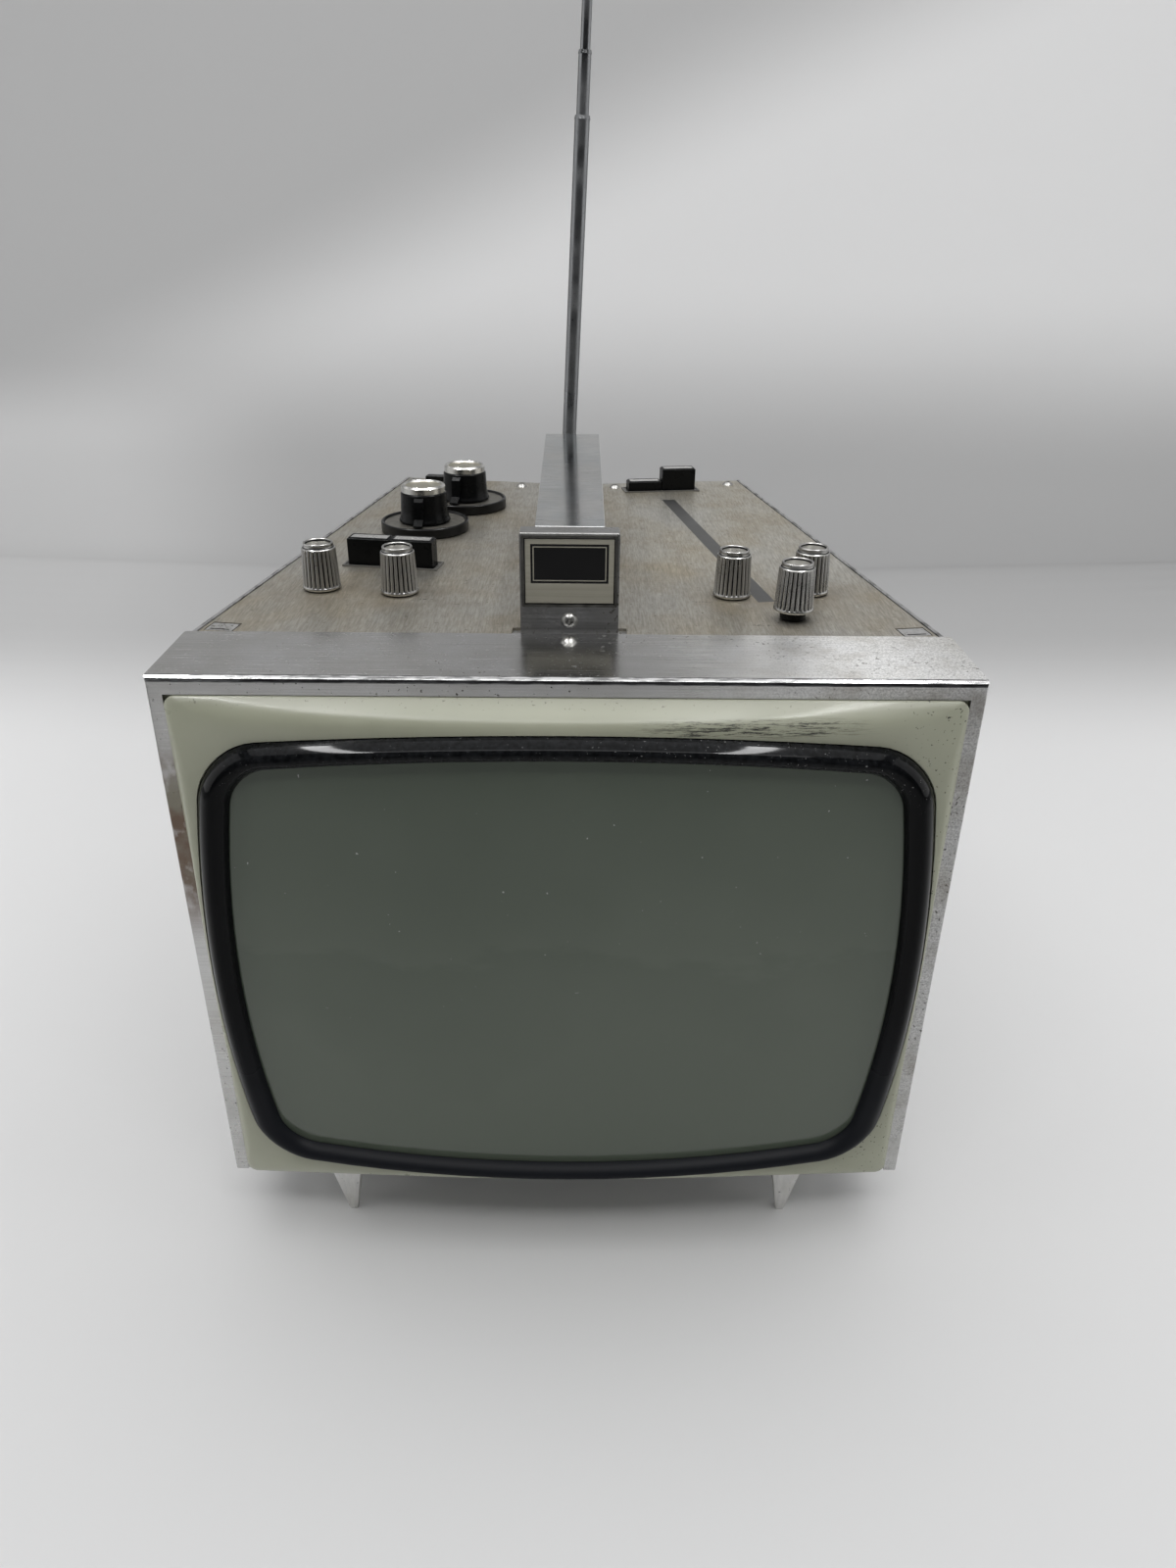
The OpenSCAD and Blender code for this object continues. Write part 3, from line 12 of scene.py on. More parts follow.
import bmesh
import bpy
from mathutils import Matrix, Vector

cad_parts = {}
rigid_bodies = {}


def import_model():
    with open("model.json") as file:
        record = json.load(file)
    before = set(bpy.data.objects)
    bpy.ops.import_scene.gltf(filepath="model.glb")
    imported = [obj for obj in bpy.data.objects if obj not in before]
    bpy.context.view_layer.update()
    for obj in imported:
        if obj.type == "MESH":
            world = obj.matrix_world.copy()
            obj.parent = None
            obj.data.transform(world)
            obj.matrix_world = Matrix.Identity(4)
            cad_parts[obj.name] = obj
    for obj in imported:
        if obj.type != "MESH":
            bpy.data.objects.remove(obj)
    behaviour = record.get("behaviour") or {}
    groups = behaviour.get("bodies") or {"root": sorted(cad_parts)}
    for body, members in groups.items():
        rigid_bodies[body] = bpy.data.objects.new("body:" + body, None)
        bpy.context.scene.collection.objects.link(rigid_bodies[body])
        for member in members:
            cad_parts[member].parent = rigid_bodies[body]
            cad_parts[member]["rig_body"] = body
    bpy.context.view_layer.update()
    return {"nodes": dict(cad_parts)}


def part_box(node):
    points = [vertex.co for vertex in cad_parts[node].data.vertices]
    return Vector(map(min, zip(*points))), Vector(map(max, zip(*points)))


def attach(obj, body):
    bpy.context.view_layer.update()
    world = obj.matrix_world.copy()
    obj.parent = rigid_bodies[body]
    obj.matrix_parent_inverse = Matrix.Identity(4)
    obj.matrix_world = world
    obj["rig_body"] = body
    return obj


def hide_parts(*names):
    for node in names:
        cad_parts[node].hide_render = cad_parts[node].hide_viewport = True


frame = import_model()

# %% [markdown]
# ## The camera
# A short lens close above the front of the set gives the strong perspective: the
# cabinet seems to shrink towards its feet and its far end. The camera looks down by
# about 27 degrees, and the verticals are left to converge.

# %% Camera
camera_data = bpy.data.cameras.new("camera")
camera_data.sensor_width = 36
camera_data.lens = 24.98
camera = bpy.data.objects.new("camera", camera_data)
camera.location = (0.0034, -0.5243, 0.4179)
camera.rotation_euler = (radians(62.518), radians(-0.594), radians(-0.341))
bpy.context.scene.collection.objects.link(camera)
bpy.context.scene.camera = camera
print("camera at", tuple(round(v, 4) for v in camera.location))

# %% [markdown]
# ## Tools for the finishes
# Every finish is a small net of nodes that reads the Object coordinates, so the
# patterns sit in metres on the pieces: a noise with scale 1000 has grains of about
# a millimetre. These helpers keep the nets short to write.

# %% Node helpers
def grey(value):
    return (value, value, value)


def node_tree(name):
    material = bpy.data.materials.new(name)
    material.use_nodes = True
    tree = material.node_tree
    return material, tree, tree.nodes["Principled BSDF"]


def object_space(tree, scale=(1, 1, 1), turn=0.0, centre=(0, 0, 0)):
    coords = tree.nodes.new("ShaderNodeTexCoord")
    mapping = tree.nodes.new("ShaderNodeMapping")
    mapping.vector_type = "TEXTURE"
    mapping.inputs["Location"].default_value = centre
    mapping.inputs["Rotation"].default_value = (0, 0, turn)
    mapping.inputs["Scale"].default_value = [1 / s for s in scale]
    tree.links.new(coords.outputs["Object"], mapping.inputs["Vector"])
    return mapping.outputs["Vector"]


def axes_of(tree, vector):
    split = tree.nodes.new("ShaderNodeSeparateXYZ")
    tree.links.new(vector, split.inputs["Vector"])
    return [split.outputs[axis] for axis in "XYZ"]


def noise(tree, scale, detail=3.0, rough=0.55):
    texture = tree.nodes.new("ShaderNodeTexNoise")
    texture.inputs["Scale"].default_value = 1
    texture.inputs["Detail"].default_value = detail
    texture.inputs["Roughness"].default_value = rough
    scales = (scale,) * 3 if isinstance(scale, (int, float)) else scale
    tree.links.new(object_space(tree, scales), texture.inputs["Vector"])
    return texture.outputs["Fac"]


def put(tree, socket, value):
    if isinstance(value, (int, float)):
        socket.default_value = value
    elif isinstance(value, tuple):
        socket.default_value = (*value, 1) if len(value) == 3 else value
    else:
        tree.links.new(value, socket)


def ramp(tree, factor, low, high, start=(0, 0, 0), end=(1, 1, 1)):
    node = tree.nodes.new("ShaderNodeValToRGB")
    for stop, position, colour in zip(node.color_ramp.elements, (low, high), (start, end)):
        stop.position = position
        stop.color = (*colour, 1)
    tree.links.new(factor, node.inputs["Fac"])
    return node.outputs["Color"]


def mixed(tree, factor, first, second, blend="MIX"):
    node = tree.nodes.new("ShaderNodeMix")
    node.data_type = "RGBA"
    node.blend_type = blend
    for socket, value in ((0, factor), (6, first), (7, second)):
        put(tree, node.inputs[socket], value)
    return node.outputs[2]


def calc(tree, operation, first, second=0.0, clamp=True):
    node = tree.nodes.new("ShaderNodeMath")
    node.operation = operation
    node.use_clamp = clamp
    put(tree, node.inputs[0], first)
    put(tree, node.inputs[1], second)
    return node.outputs[0]


def product(tree, *values):
    total = values[0]
    for value in values[1:]:
        total = calc(tree, "MULTIPLY", total, value)
    return total


def weighed(tree, *terms):
    total = 0.0
    for weight, value in terms:
        scaled = calc(tree, "MULTIPLY", value, weight, clamp=False)
        total = calc(tree, "ADD", scaled, total, clamp=False)
    return total


def fade(tree, value, start, end, low=0.0, high=1.0):
    node = tree.nodes.new("ShaderNodeMapRange")
    node.interpolation_type = "SMOOTHSTEP"
    limits = {"From Min": start, "From Max": end, "To Min": low, "To Max": high}
    for socket, number in limits.items():
        node.inputs[socket].default_value = number
    tree.links.new(value, node.inputs["Value"])
    return node.outputs["Result"]


def within(tree, value, low, high):
    return product(tree, calc(tree, "GREATER_THAN", value, low),
                   calc(tree, "LESS_THAN", value, high))


def about(tree, value, middle, reach):
    return product(tree, fade(tree, value, middle - reach, middle - reach / 3),
                   fade(tree, value, middle + reach, middle + reach / 3))


def relief(tree, shader, height, strength, depth):
    node = tree.nodes.new("ShaderNodeBump")
    node.inputs["Strength"].default_value = strength
    node.inputs["Distance"].default_value = depth
    tree.links.new(height, node.inputs["Height"])
    tree.links.new(node.outputs["Normal"], shader.inputs["Normal"])


# %% [markdown]
# ## Floor and light
# The set stands on a pale table that rises behind it in one soft curve. A profile of three points
# is swept sideways; a bevel on its fold makes the curve. Light and shade are painted into the
# paper's colour: painted shade makes it greyer where it rises and darker towards the front, and a
# painted glow brightens its upper right and, more faintly, a patch low on its left. A large lamp
# hangs overhead, a long one in front and two dim ones light the sides. Two narrow tubes give no
# light and only show as highlights on what is glossy.

# %% Floor and backdrop
def new_piece(name, shape):
    mesh = bpy.data.meshes.new(name)
    shape.to_mesh(mesh)
    shape.free()
    piece = bpy.data.objects.new(name, mesh)
    bpy.context.scene.collection.objects.link(piece)
    return piece


SWEEP_HALF = 6                            # metres from the middle to each side
SWEEP_DEPTHS = {-1: -3.2, 0: 0.62, 1: 0.80}    # front edge, fold and top edge
SWEEP_TALL = 2.6
SWEEP_CURVE = 0.26
sweep_shape = bmesh.new()
bmesh.ops.create_grid(sweep_shape, x_segments=2, y_segments=2, size=1)
for corner in sweep_shape.verts:
    row = round(corner.co.y)
    corner.co.x *= SWEEP_HALF
    corner.co.y = SWEEP_DEPTHS[row]
    corner.co.z = SWEEP_TALL if row == 1 else 0
fold = [edge for edge in sweep_shape.edges
        if all(abs(end.co.y - SWEEP_DEPTHS[0]) < 0.01 for end in edge.verts)]
bmesh.ops.bevel(sweep_shape, geom=fold, offset=SWEEP_CURVE, segments=16, profile=0.5,
                affect="EDGES", offset_type="OFFSET", material=-1)
for face in sweep_shape.faces:
    face.smooth = True
floor = new_piece("floor_sweep", sweep_shape)
paper_with_painted_light, tree, shader = node_tree("paper_with_painted_light")
x, y, z = axes_of(tree, object_space(tree))
# Painted shade and painted glow in the paper's colour: darker towards the front and where the
# sheet rises, brighter at its upper right and low on its left.
painted_front_shade = fade(tree, y, -1.30, -0.60, 0.60, 1.0)
paper_tone_with_painted_shade = fade(tree, weighed(tree, (1, y), (1, z)), 0.33, 0.66, 0.72, 0.43)
painted_glow_edge = fade(tree, weighed(tree, (0.40, x), (-0.92, z)), -0.53, -0.35, 0, 1)
painted_glow_foot = fade(tree, z, 0.14, 0.36, 0, 0.30)
painted_left_glow = product(tree, fade(tree, x, -0.30, -0.60, 0, 0.17), about(tree, z, 0.11, 0.16))
sheet = calc(tree, "ADD", paper_tone_with_painted_shade, product(tree, painted_glow_edge, painted_glow_foot))
sheet = calc(tree, "ADD", sheet, painted_left_glow)
tree.links.new(product(tree, sheet, painted_front_shade), shader.inputs["Base Color"])
shader.inputs["Roughness"].default_value = 0.7
floor.data.materials.append(paper_with_painted_light)
print("sweep faces", len(floor.data.polygons))

# %% Lamps and sky
def soft_lamp(name, place, aim, size, power):
    lamp = bpy.data.lights.new(name, "AREA")
    lamp.shape = "RECTANGLE"
    lamp.size, lamp.size_y = size
    lamp.energy = power
    holder = bpy.data.objects.new(name, lamp)
    holder.location = place
    holder.rotation_euler = (Vector(aim) - Vector(place)).to_track_quat("-Z", "Y").to_euler()
    bpy.context.scene.collection.objects.link(holder)
    return holder


TUBE_SIZE = (0.07, 1.0)
TUBE_POWER = 11
tubes = (soft_lamp("tube_left", (-0.55, -0.35, 1.30), (-0.55, -0.35, 0.0), TUBE_SIZE, TUBE_POWER),
         soft_lamp("tube_right", (0.40, -0.35, 1.30), (0.40, -0.35, 0.0), TUBE_SIZE, TUBE_POWER))
for tube in tubes:
    tube.visible_diffuse = False
soft_lamp("lamp_over", (0.0, 0.20, 1.60), (0.0, 0.10, 0.2), (2.4, 2.0), 24.0)
soft_lamp("lamp_front", (0.0, -0.80, 1.35), (0.0, -0.25, 0.1), (1.3, 0.22), 4.4)
soft_lamp("side_left", (-1.1, 0.0, 0.55), (0.0, 0.0, 0.3), (1.2, 0.9), 4.2)
soft_lamp("side_right", (1.1, 0.0, 0.55), (0.0, 0.0, 0.3), (1.2, 0.9), 4.2)
world = bpy.data.worlds.new("sky")
world.use_nodes = True
sky = world.node_tree
toward = sky.nodes.new("ShaderNodeTexCoord")
split = sky.nodes.new("ShaderNodeSeparateXYZ")
sky.links.new(toward.outputs["Generated"], split.inputs["Vector"])
strength = fade(sky, split.outputs["Y"], -0.75, 0.25, 0.06, 0.15)
sky.links.new(strength, sky.nodes["Background"].inputs["Strength"])
sky.nodes["Background"].inputs["Color"].default_value = (0.93, 0.95, 1, 1)
bpy.context.scene.world = world
bpy.context.scene.view_settings.view_transform = "Standard"
print("lamps", len(bpy.data.lights))

# %% [markdown]
# ## Putting a finish on a piece
# A CAD mesh arrives as loose triangles, which is right for its size but leaves hard
# facets. A copy is merged, its flat triangles are dissolved into whole faces, and
# edges flatter than a limit are shaded smooth. A narrow bevel then catches the light
# along the folds and rims, as on real sheet metal and mouldings.

# %% Dressing and cleaning
def corners(name):
    low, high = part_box(name)
    return Vector(low), Vector(high)


def dress(material, *names):
    for name in names:
        node = frame["nodes"][name]
        node.data.materials.clear()
        node.data.materials.append(material)


def stand_in(piece, name):
    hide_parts(name)
    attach(piece, frame["nodes"][name]["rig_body"])


def soften(shape, crease):
    for face in shape.faces:
        face.smooth = True
    for edge in shape.edges:
        edge.smooth = len(edge.link_faces) == 2 and edge.calc_face_angle(0) < radians(crease)


MERGE_GAP = 0.00001          # corners nearer than this are one corner
FLAT = radians(0.02)         # triangles flatter than this make one face


def cleaned(name, material, crease=32.0, bevel=0.0):
    shape = bmesh.new()
    shape.from_mesh(frame["nodes"][name].data)
    bmesh.ops.remove_doubles(shape, verts=shape.verts, dist=MERGE_GAP)
    bmesh.ops.dissolve_limit(shape, angle_limit=FLAT, verts=shape.verts, edges=shape.edges)
    for face in shape.faces:
        face.material_index = 0
    soften(shape, crease)
    piece = new_piece(name + "_finished", shape)
    piece.data.materials.append(material)
    if bevel:
        rounding = piece.modifiers.new("rounding", "BEVEL")
        rounding.width = bevel
        rounding.segments = 2
        rounding.limit_method = "ANGLE"
        rounding.angle_limit = radians(crease)
        rounding.harden_normals = True
    stand_in(piece, name)
    return piece


# %% [markdown]
# ## Brushed aluminium
# The band and the handle are drawn aluminium. The mill left fine lines along X, and
# years of hands left dull clouds and small dark pits. Noise stretched a hundred times
# along X makes the lines; a second noise makes the clouds and a third the pits.

# %% Aluminium
DIRT = (0.10, 0.095, 0.085)


def brushed(tree, grain, tone, pits, rough, denser=0.0):
    lines = noise(tree, grain, 4.0, 0.65)
    clouds = noise(tree, 30, 4.0, 0.6)
    spots = calc(tree, "ADD", noise(tree, 620, 2.0, 0.5), denser)
    bright = ramp(tree, lines, 0.25, 0.75, grey(tone * 0.84), grey(tone * 1.13))
    dull = ramp(tree, clouds, 0.35, 0.7, (0.86, 0.85, 0.82), (1, 1, 1))
    pitted = product(tree, ramp(tree, spots, pits, pits + 0.05),
                     ramp(tree, noise(tree, 22, 2.0, 0.5), 0.42, 0.6))
    colour = mixed(tree, pitted, mixed(tree, 1.0, bright, dull, "MULTIPLY"), DIRT)
    sheen = ramp(tree, lines, 0.3, 0.7, grey(rough[0]), grey(rough[1]))
    return colour, mixed(tree, pitted, sheen, grey(0.8)), lines


def aluminium(name, grain, tone, pits, rough, bumps):
    material, tree, shader = node_tree(name)
    shader.inputs["Metallic"].default_value = 1
    colour, sheen, lines = brushed(tree, grain, tone, pits, rough)
    tree.links.new(colour, shader.inputs["Base Color"])
    tree.links.new(sheen, shader.inputs["Roughness"])
    relief(tree, shader, lines, bumps, 0.0002)
    return material


# %% [markdown]
# The band has more to tell. Its front edge is polished round, so it mirrors the lamps
# in one bright line above a black one. The right third is lighter and more pitted, and
# greyer at its very end. The side plates bloom white below, and the left one is stained
# brown at more than half its height.

# %% Band
POLISHED = 0.0023                    # metres of polished round along the front edge
STAIN_HEIGHT, STAIN_REACH = 0.206, 0.052
BLOOM_TOP, BLOOM_FULL = 0.125, 0.05
band_low, band_high = corners("front_trim")
band_metal, tree, shader = node_tree("band_aluminium")
shader.inputs["Metallic"].default_value = 1
x, y, z = axes_of(tree, object_space(tree))
right_third = fade(tree, x, 0.02, 0.13)
colour, sheen, lines = brushed(tree, (25, 1700, 1700), 0.63, 0.66, (0.18, 0.28),
                               calc(tree, "MULTIPLY", right_third, 0.03))
sand = ramp(tree, noise(tree, 1300, 3.0, 0.7), 0.38, 0.60, grey(0.72), grey(1.12))
colour = mixed(tree, right_third, colour, mixed(tree, 1.0, colour, sand, "MULTIPLY"))
patches = product(tree, right_third, ramp(tree, noise(tree, 55, 4.0), 0.50, 0.66), 0.45)
colour = mixed(tree, patches, colour, (0.26, 0.235, 0.20))
sheen = mixed(tree, right_third, sheen, grey(0.50))
colour = mixed(tree, 1.0, colour, fade(tree, x, 0.0, 0.09, 0.92, 1.26), "MULTIPLY")
colour = mixed(tree, 1.0, colour, fade(tree, x, 0.10, 0.15, 1.0, 0.72), "MULTIPLY")
# Painted reflection: the band is darkened in front of the post, for the post's dark face mirrored
# in it.
painted_post_reflection = product(tree, about(tree, x, 0.0, 0.075), 0.16)
colour = mixed(tree, painted_post_reflection, colour, grey(0.0))
low_down = product(tree, fade(tree, z, BLOOM_TOP, BLOOM_FULL),
                   ramp(tree, noise(tree, 160), 0.42, 0.6))
colour = mixed(tree, product(tree, low_down, 0.7), colour, (0.60, 0.60, 0.59))
stained = product(tree, fade(tree, x, -0.120, -0.132), about(tree, z, STAIN_HEIGHT, STAIN_REACH),
                  ramp(tree, noise(tree, (90, 90, 60), 4.0), 0.34, 0.50))
brown = ramp(tree, noise(tree, 70, 4.0), 0.40, 0.60, (0.115, 0.070, 0.045), (0.185, 0.170, 0.130))
colour = mixed(tree, product(tree, stained, 0.90), colour, brown)
round_edge = product(tree, calc(tree, "GREATER_THAN", z, band_high.z - POLISHED),
                     calc(tree, "LESS_THAN", y, band_low.y + POLISHED))
worn_edge = ramp(tree, noise(tree, (140, 900, 900), 4.0), 0.42, 0.60, grey(0.40), grey(0.15))
colour = mixed(tree, round_edge, colour, worn_edge)
tree.links.new(colour, shader.inputs["Base Color"])
tree.links.new(mixed(tree, round_edge, mixed(tree, low_down, sheen, grey(0.6)), grey(0.13)),
               shader.inputs["Roughness"])
relief(tree, shader, calc(tree, "MULTIPLY", lines, calc(tree, "SUBTRACT", 1.0, round_edge)),
       0.05, 0.0002)
band = cleaned("front_trim", band_metal, 32, 0.0003)
print("band faces", len(band.data.polygons))

# %% [markdown]
# The handle's bar is almost a mirror under its grey clouds and a few dark scratches, and shows the
# aerial's reflection. Its posts are duller, and their much darker tone is painted shade.

# %% Handle
bar_metal, tree, shader = node_tree("bar_aluminium")
shader.inputs["Metallic"].default_value = 1
colour, sheen, lines = brushed(tree, (120, 700, 700), 0.70, 0.72, (0.09, 0.17))
clouds = ramp(tree, noise(tree, (70, 45, 45), 5.0), 0.35, 0.65, (0.86, 0.90, 0.92), (1, 1, 1))
scratches = product(tree, ramp(tree, noise(tree, (60, 900, 60), 2.0), 0.66, 0.70),
                    ramp(tree, noise(tree, 60, 2.0), 0.52, 0.60))
colour = mixed(tree, scratches, mixed(tree, 1.0, colour, clouds, "MULTIPLY"), grey(0.22))
tree.links.new(colour, shader.inputs["Base Color"])
tree.links.new(mixed(tree, scratches, sheen, grey(0.4)), shader.inputs["Roughness"])
relief(tree, shader, lines, 0.012, 0.0002)
# Painted shade: the posts get a much darker copy of the aluminium than the bar, for faces turned
# to the dark front.
shaded_post_metal = aluminium("post_aluminium_painted_shade", (25, 1500, 1500), 0.235, 0.62, (0.36, 0.50), 0.06)
bar = cleaned("handle_bar", bar_metal, 32, 0.0004)
cleaned("front_post", shaded_post_metal, 32)
cleaned("rear_post", shaded_post_metal, 32, 0.0004)
rail_metal = aluminium("rail_aluminium", (1500, 25, 1500), 0.40, 0.58, (0.36, 0.50), 0.08)
dress(rail_metal, "top_rail")
print("bar faces", len(bar.data.polygons))

# %% [markdown]
# ## The cream bezel
# A glossy moulding, yellowed towards green. It is nearly plain, so the interest lies in its clear
# gloss, duller on the right half, and its faint mottling. Dust and painted shade from the band's
# brow darken its upper rim, dark smudges run along the top of its right half, and specks of grime
# cling to the right side.

# %% Cream moulding
SMUDGE_X, SMUDGE_REACH = 0.066, 0.050
SMUDGE_DROP, SMUDGE_TALL = 0.0105, 0.0040      # below the bezel's top
_, bezel_high = corners("front_bezel")
cream, tree, shader = node_tree("cream_moulding")
x, _, z = axes_of(tree, object_space(tree))
tint = ramp(tree, noise(tree, 18, 4.0), 0.3, 0.7, (0.378, 0.388, 0.290), (0.436, 0.446, 0.341))
# Dust and painted shade: the top rim, under the band's brow, is darkened.
dust_and_brow_shade = fade(tree, z, bezel_high.z - 0.0075, bezel_high.z - 0.0015)
tint = mixed(tree, product(tree, dust_and_brow_shade, 0.5), tint, (0.30, 0.30, 0.235))
smudge = product(tree, about(tree, x, SMUDGE_X, SMUDGE_REACH),
                 about(tree, z, bezel_high.z - SMUDGE_DROP, SMUDGE_TALL),
                 ramp(tree, noise(tree, (110, 110, 1500), 6.0, 0.8), 0.50, 0.56))
specks = product(tree, ramp(tree, noise(tree, 700, 2.0), 0.66, 0.72),
                 calc(tree, "MAXIMUM", fade(tree, x, 0.11, 0.135), product(tree, dust_and_brow_shade, 0.7)))
grime = calc(tree, "MAXIMUM", smudge, specks)
tint = mixed(tree, grime, tint, (0.022, 0.022, 0.018))
tree.links.new(tint, shader.inputs["Base Color"])
gloss = ramp(tree, noise(tree, 60, 5.0), 0.3, 0.7, grey(0.26), grey(0.36))
gloss = mixed(tree, fade(tree, x, 0.040, 0.080), gloss, grey(0.52))
tree.links.new(mixed(tree, calc(tree, "MAXIMUM", grime, product(tree, dust_and_brow_shade, 0.8)), gloss,
                     grey(0.55)), shader.inputs["Roughness"])
shader.inputs["Coat Weight"].default_value = 0.12
shader.inputs["Coat Roughness"].default_value = 0.10
bezel = cleaned("front_bezel", cream, 40)
print("bezel faces", len(bezel.data.polygons))

# %% [markdown]
# ## Mask and screen
# The mask is a deep black moulding with a domed section: it shows two sharp highlights, thin lines
# of light and a sprinkling of dust on its upper side. Its top and its lower part are lighter, from
# dust haze and painted light, and the lower part is duller. The tube's face is grey glass in front
# of a dull coating: from outside it is a dark grey-green mirror, a little lighter below, with a
# few specks and one faint smear.

# %% Mask and glass
SMEAR_LOW, SMEAR_HIGH = 0.150, 0.190           # the smear fades out at these heights
mask_black, tree, shader = node_tree("mask_black")
x, _, z = axes_of(tree, object_space(tree))
dust = product(tree, ramp(tree, noise(tree, 1100, 2.0), 0.69, 0.73),
               fade(tree, z, 0.222, 0.238), fade(tree, x, -0.05, 0.09, 0.25, 1.0))
# Dust haze and painted light: the lower part and the top of the mask are made lighter.
low_haze_and_painted_light = fade(tree, z, 0.150, 0.060)
top_haze_and_painted_light = product(tree, fade(tree, z, 0.238, 0.248, 0, 0.7),
               ramp(tree, noise(tree, 500, 4.0), 0.35, 0.65))
moulding = mixed(tree, top_haze_and_painted_light, (0.0033, 0.0036, 0.004), (0.017, 0.018, 0.020))
moulding = mixed(tree, low_haze_and_painted_light, moulding, (0.0105, 0.0115, 0.0145))
tree.links.new(mixed(tree, dust, moulding, grey(0.25)), shader.inputs["Base Color"])
polish = ramp(tree, noise(tree, 80, 4.0), 0.3, 0.7, grey(0.04), grey(0.07))
polish = mixed(tree, low_haze_and_painted_light, polish, grey(0.45))
tree.links.new(mixed(tree, dust, polish, grey(0.6)), shader.inputs["Roughness"])
shader.inputs["Specular IOR Level"].default_value = 0.09
mask = cleaned("screen_mask", mask_black, 50)
print("mask faces", len(mask.data.polygons))

glass, tree, shader = node_tree("screen_glass")
_, _, z = axes_of(tree, object_space(tree))
depth = calc(tree, "ADD", fade(tree, z, 0.235, 0.05, 0.0, 0.62), noise(tree, 6, 3.0))
wavy = calc(tree, "ADD", z, calc(tree, "MULTIPLY", noise(tree, (24, 24, 60), 4.0), 0.05))
smear = product(tree, fade(tree, wavy, SMEAR_HIGH - 0.007, SMEAR_HIGH),
                fade(tree, wavy, SMEAR_LOW, SMEAR_LOW + 0.022))
depth = calc(tree, "ADD", depth, calc(tree, "MULTIPLY", smear, 0.14))
coating = ramp(tree, depth, 0.25, 1.25, (0.053, 0.071, 0.048), (0.104, 0.124, 0.094))
speck = product(tree, ramp(tree, noise(tree, 520, 1.0), 0.795, 0.803), fade(tree, z, 0.10, 0.23))
tree.links.new(mixed(tree, speck, coating, (0.34, 0.36, 0.33)), shader.inputs["Base Color"])
tree.links.new(ramp(tree, noise(tree, (14, 14, 30), 4.0), 0.35, 0.7, grey(0.05), grey(0.12)),
               shader.inputs["Roughness"])
shader.inputs["IOR"].default_value = 1.52
face_glass = cleaned("screen_glass", glass, 40)
print("glass faces", len(face_glass.data.polygons))

# %% [markdown]
# ## The control panel
# A thin plate brushed from front to rear, stained brown-grey by handling. A grey stripe is printed
# on its right half, parallel to the cabinet's side; a Mapping node turned by the cabinet's taper
# places it, and limits on the turned coordinates cut it out. Worn ticks beside the knobs are what
# is left of the old scales. Brown blotches round the controls, set a little to the right of and in
# front of each, are painted shadow of the knobs mixed with dirt from fingers.

# %% Panel finish
TAPER = radians(8.63)
STRIPE_ACROSS = (-0.0580, -0.0505)   # from the panel's right front corner, to the left
STRIPE_ALONG = (0.053, 0.245)        # and to the rear
TICK_LEFT, TICK_RIGHT = 0.013, -0.014          # from a knob's axis to the end of its scale
panel_low, panel_high = corners("control_panel")
panel_metal, tree, shader = node_tree("panel_metal")
shader.inputs["Metallic"].default_value = 1
x, y, _ = axes_of(tree, object_space(tree))
lines = noise(tree, (1500, 130, 1500), 3.0, 0.6)
long_lines = noise(tree, (900, 12, 900), 3.0, 0.6)
stains = noise(tree, (26, 18, 26), 5.0, 0.6)
speckle = noise(tree, 900, 2.0, 0.6)
bright = ramp(tree, lines, 0.30, 0.70, (0.292, 0.278, 0.242), (0.467, 0.451, 0.412))
streak = ramp(tree, long_lines, 0.35, 0.65, grey(0.88), grey(1.0))
stain = ramp(tree, stains, 0.34, 0.62, (0.74, 0.69, 0.60), (1, 1, 1))
grain = ramp(tree, speckle, 0.35, 0.65, grey(0.93), grey(1.03))
worn = mixed(tree, 1.0, mixed(tree, 1.0, bright, streak, "MULTIPLY"), stain, "MULTIPLY")
worn = mixed(tree, 1.0, worn, grain, "MULTIPLY")
rubbed = product(tree, fade(tree, x, 0.015, 0.045), fade(tree, y, -0.060, -0.005))
worn = mixed(tree, rubbed, worn, mixed(tree, 1.0, worn, (1.18, 1.19, 1.20), "MULTIPLY"))
# Painted shadow and finger dirt: brown blotches a little to the right of and in front of each
# control.
knob_shadow_and_dirt = 0.0
for name in ("volume_knob", "tone_knob", "contrast_knob", "hold_knob", "channel_ring"):
    low, high = corners(name)
    spot = (low + high) / 2
    shadow = product(tree, about(tree, x, spot.x + 0.004, 0.030),
                     about(tree, y, spot.y - 0.006, 0.024))
    knob_shadow_and_dirt = calc(tree, "MAXIMUM", shadow, knob_shadow_and_dirt)
shadow_and_dirt_blotch = product(tree, knob_shadow_and_dirt, ramp(tree, noise(tree, 70, 4.0, 0.6), 0.36, 0.64), 0.55)
worn = mixed(tree, shadow_and_dirt_blotch, worn, (0.225, 0.195, 0.150))
worn = mixed(tree, ramp(tree, noise(tree, 500), 0.66, 0.72), worn, (0.16, 0.14, 0.11))
side = object_space(tree, (1, 1, 1), TAPER, (panel_high.x, panel_low.y, 0))
across, along, _ = axes_of(tree, side)
stripe = product(tree, within(tree, across, *STRIPE_ACROSS), within(tree, along, *STRIPE_ALONG))
worn = mixed(tree, stripe, worn, (0.098, 0.098, 0.096))
for name in ("tone_knob", "brightness_knob", "contrast_knob"):
    low, high = corners(name)
    beside = (low.x + high.x) / 2 + (TICK_LEFT if low.x < 0 else TICK_RIGHT)
    tick = product(tree, about(tree, y, low.y - 0.001, 0.0009), about(tree, x, beside, 0.006),
                   ramp(tree, noise(tree, (700, 400, 400), 2.0), 0.48, 0.56))
    worn = mixed(tree, tick, worn, (0.06, 0.055, 0.05))
tree.links.new(worn, shader.inputs["Base Color"])
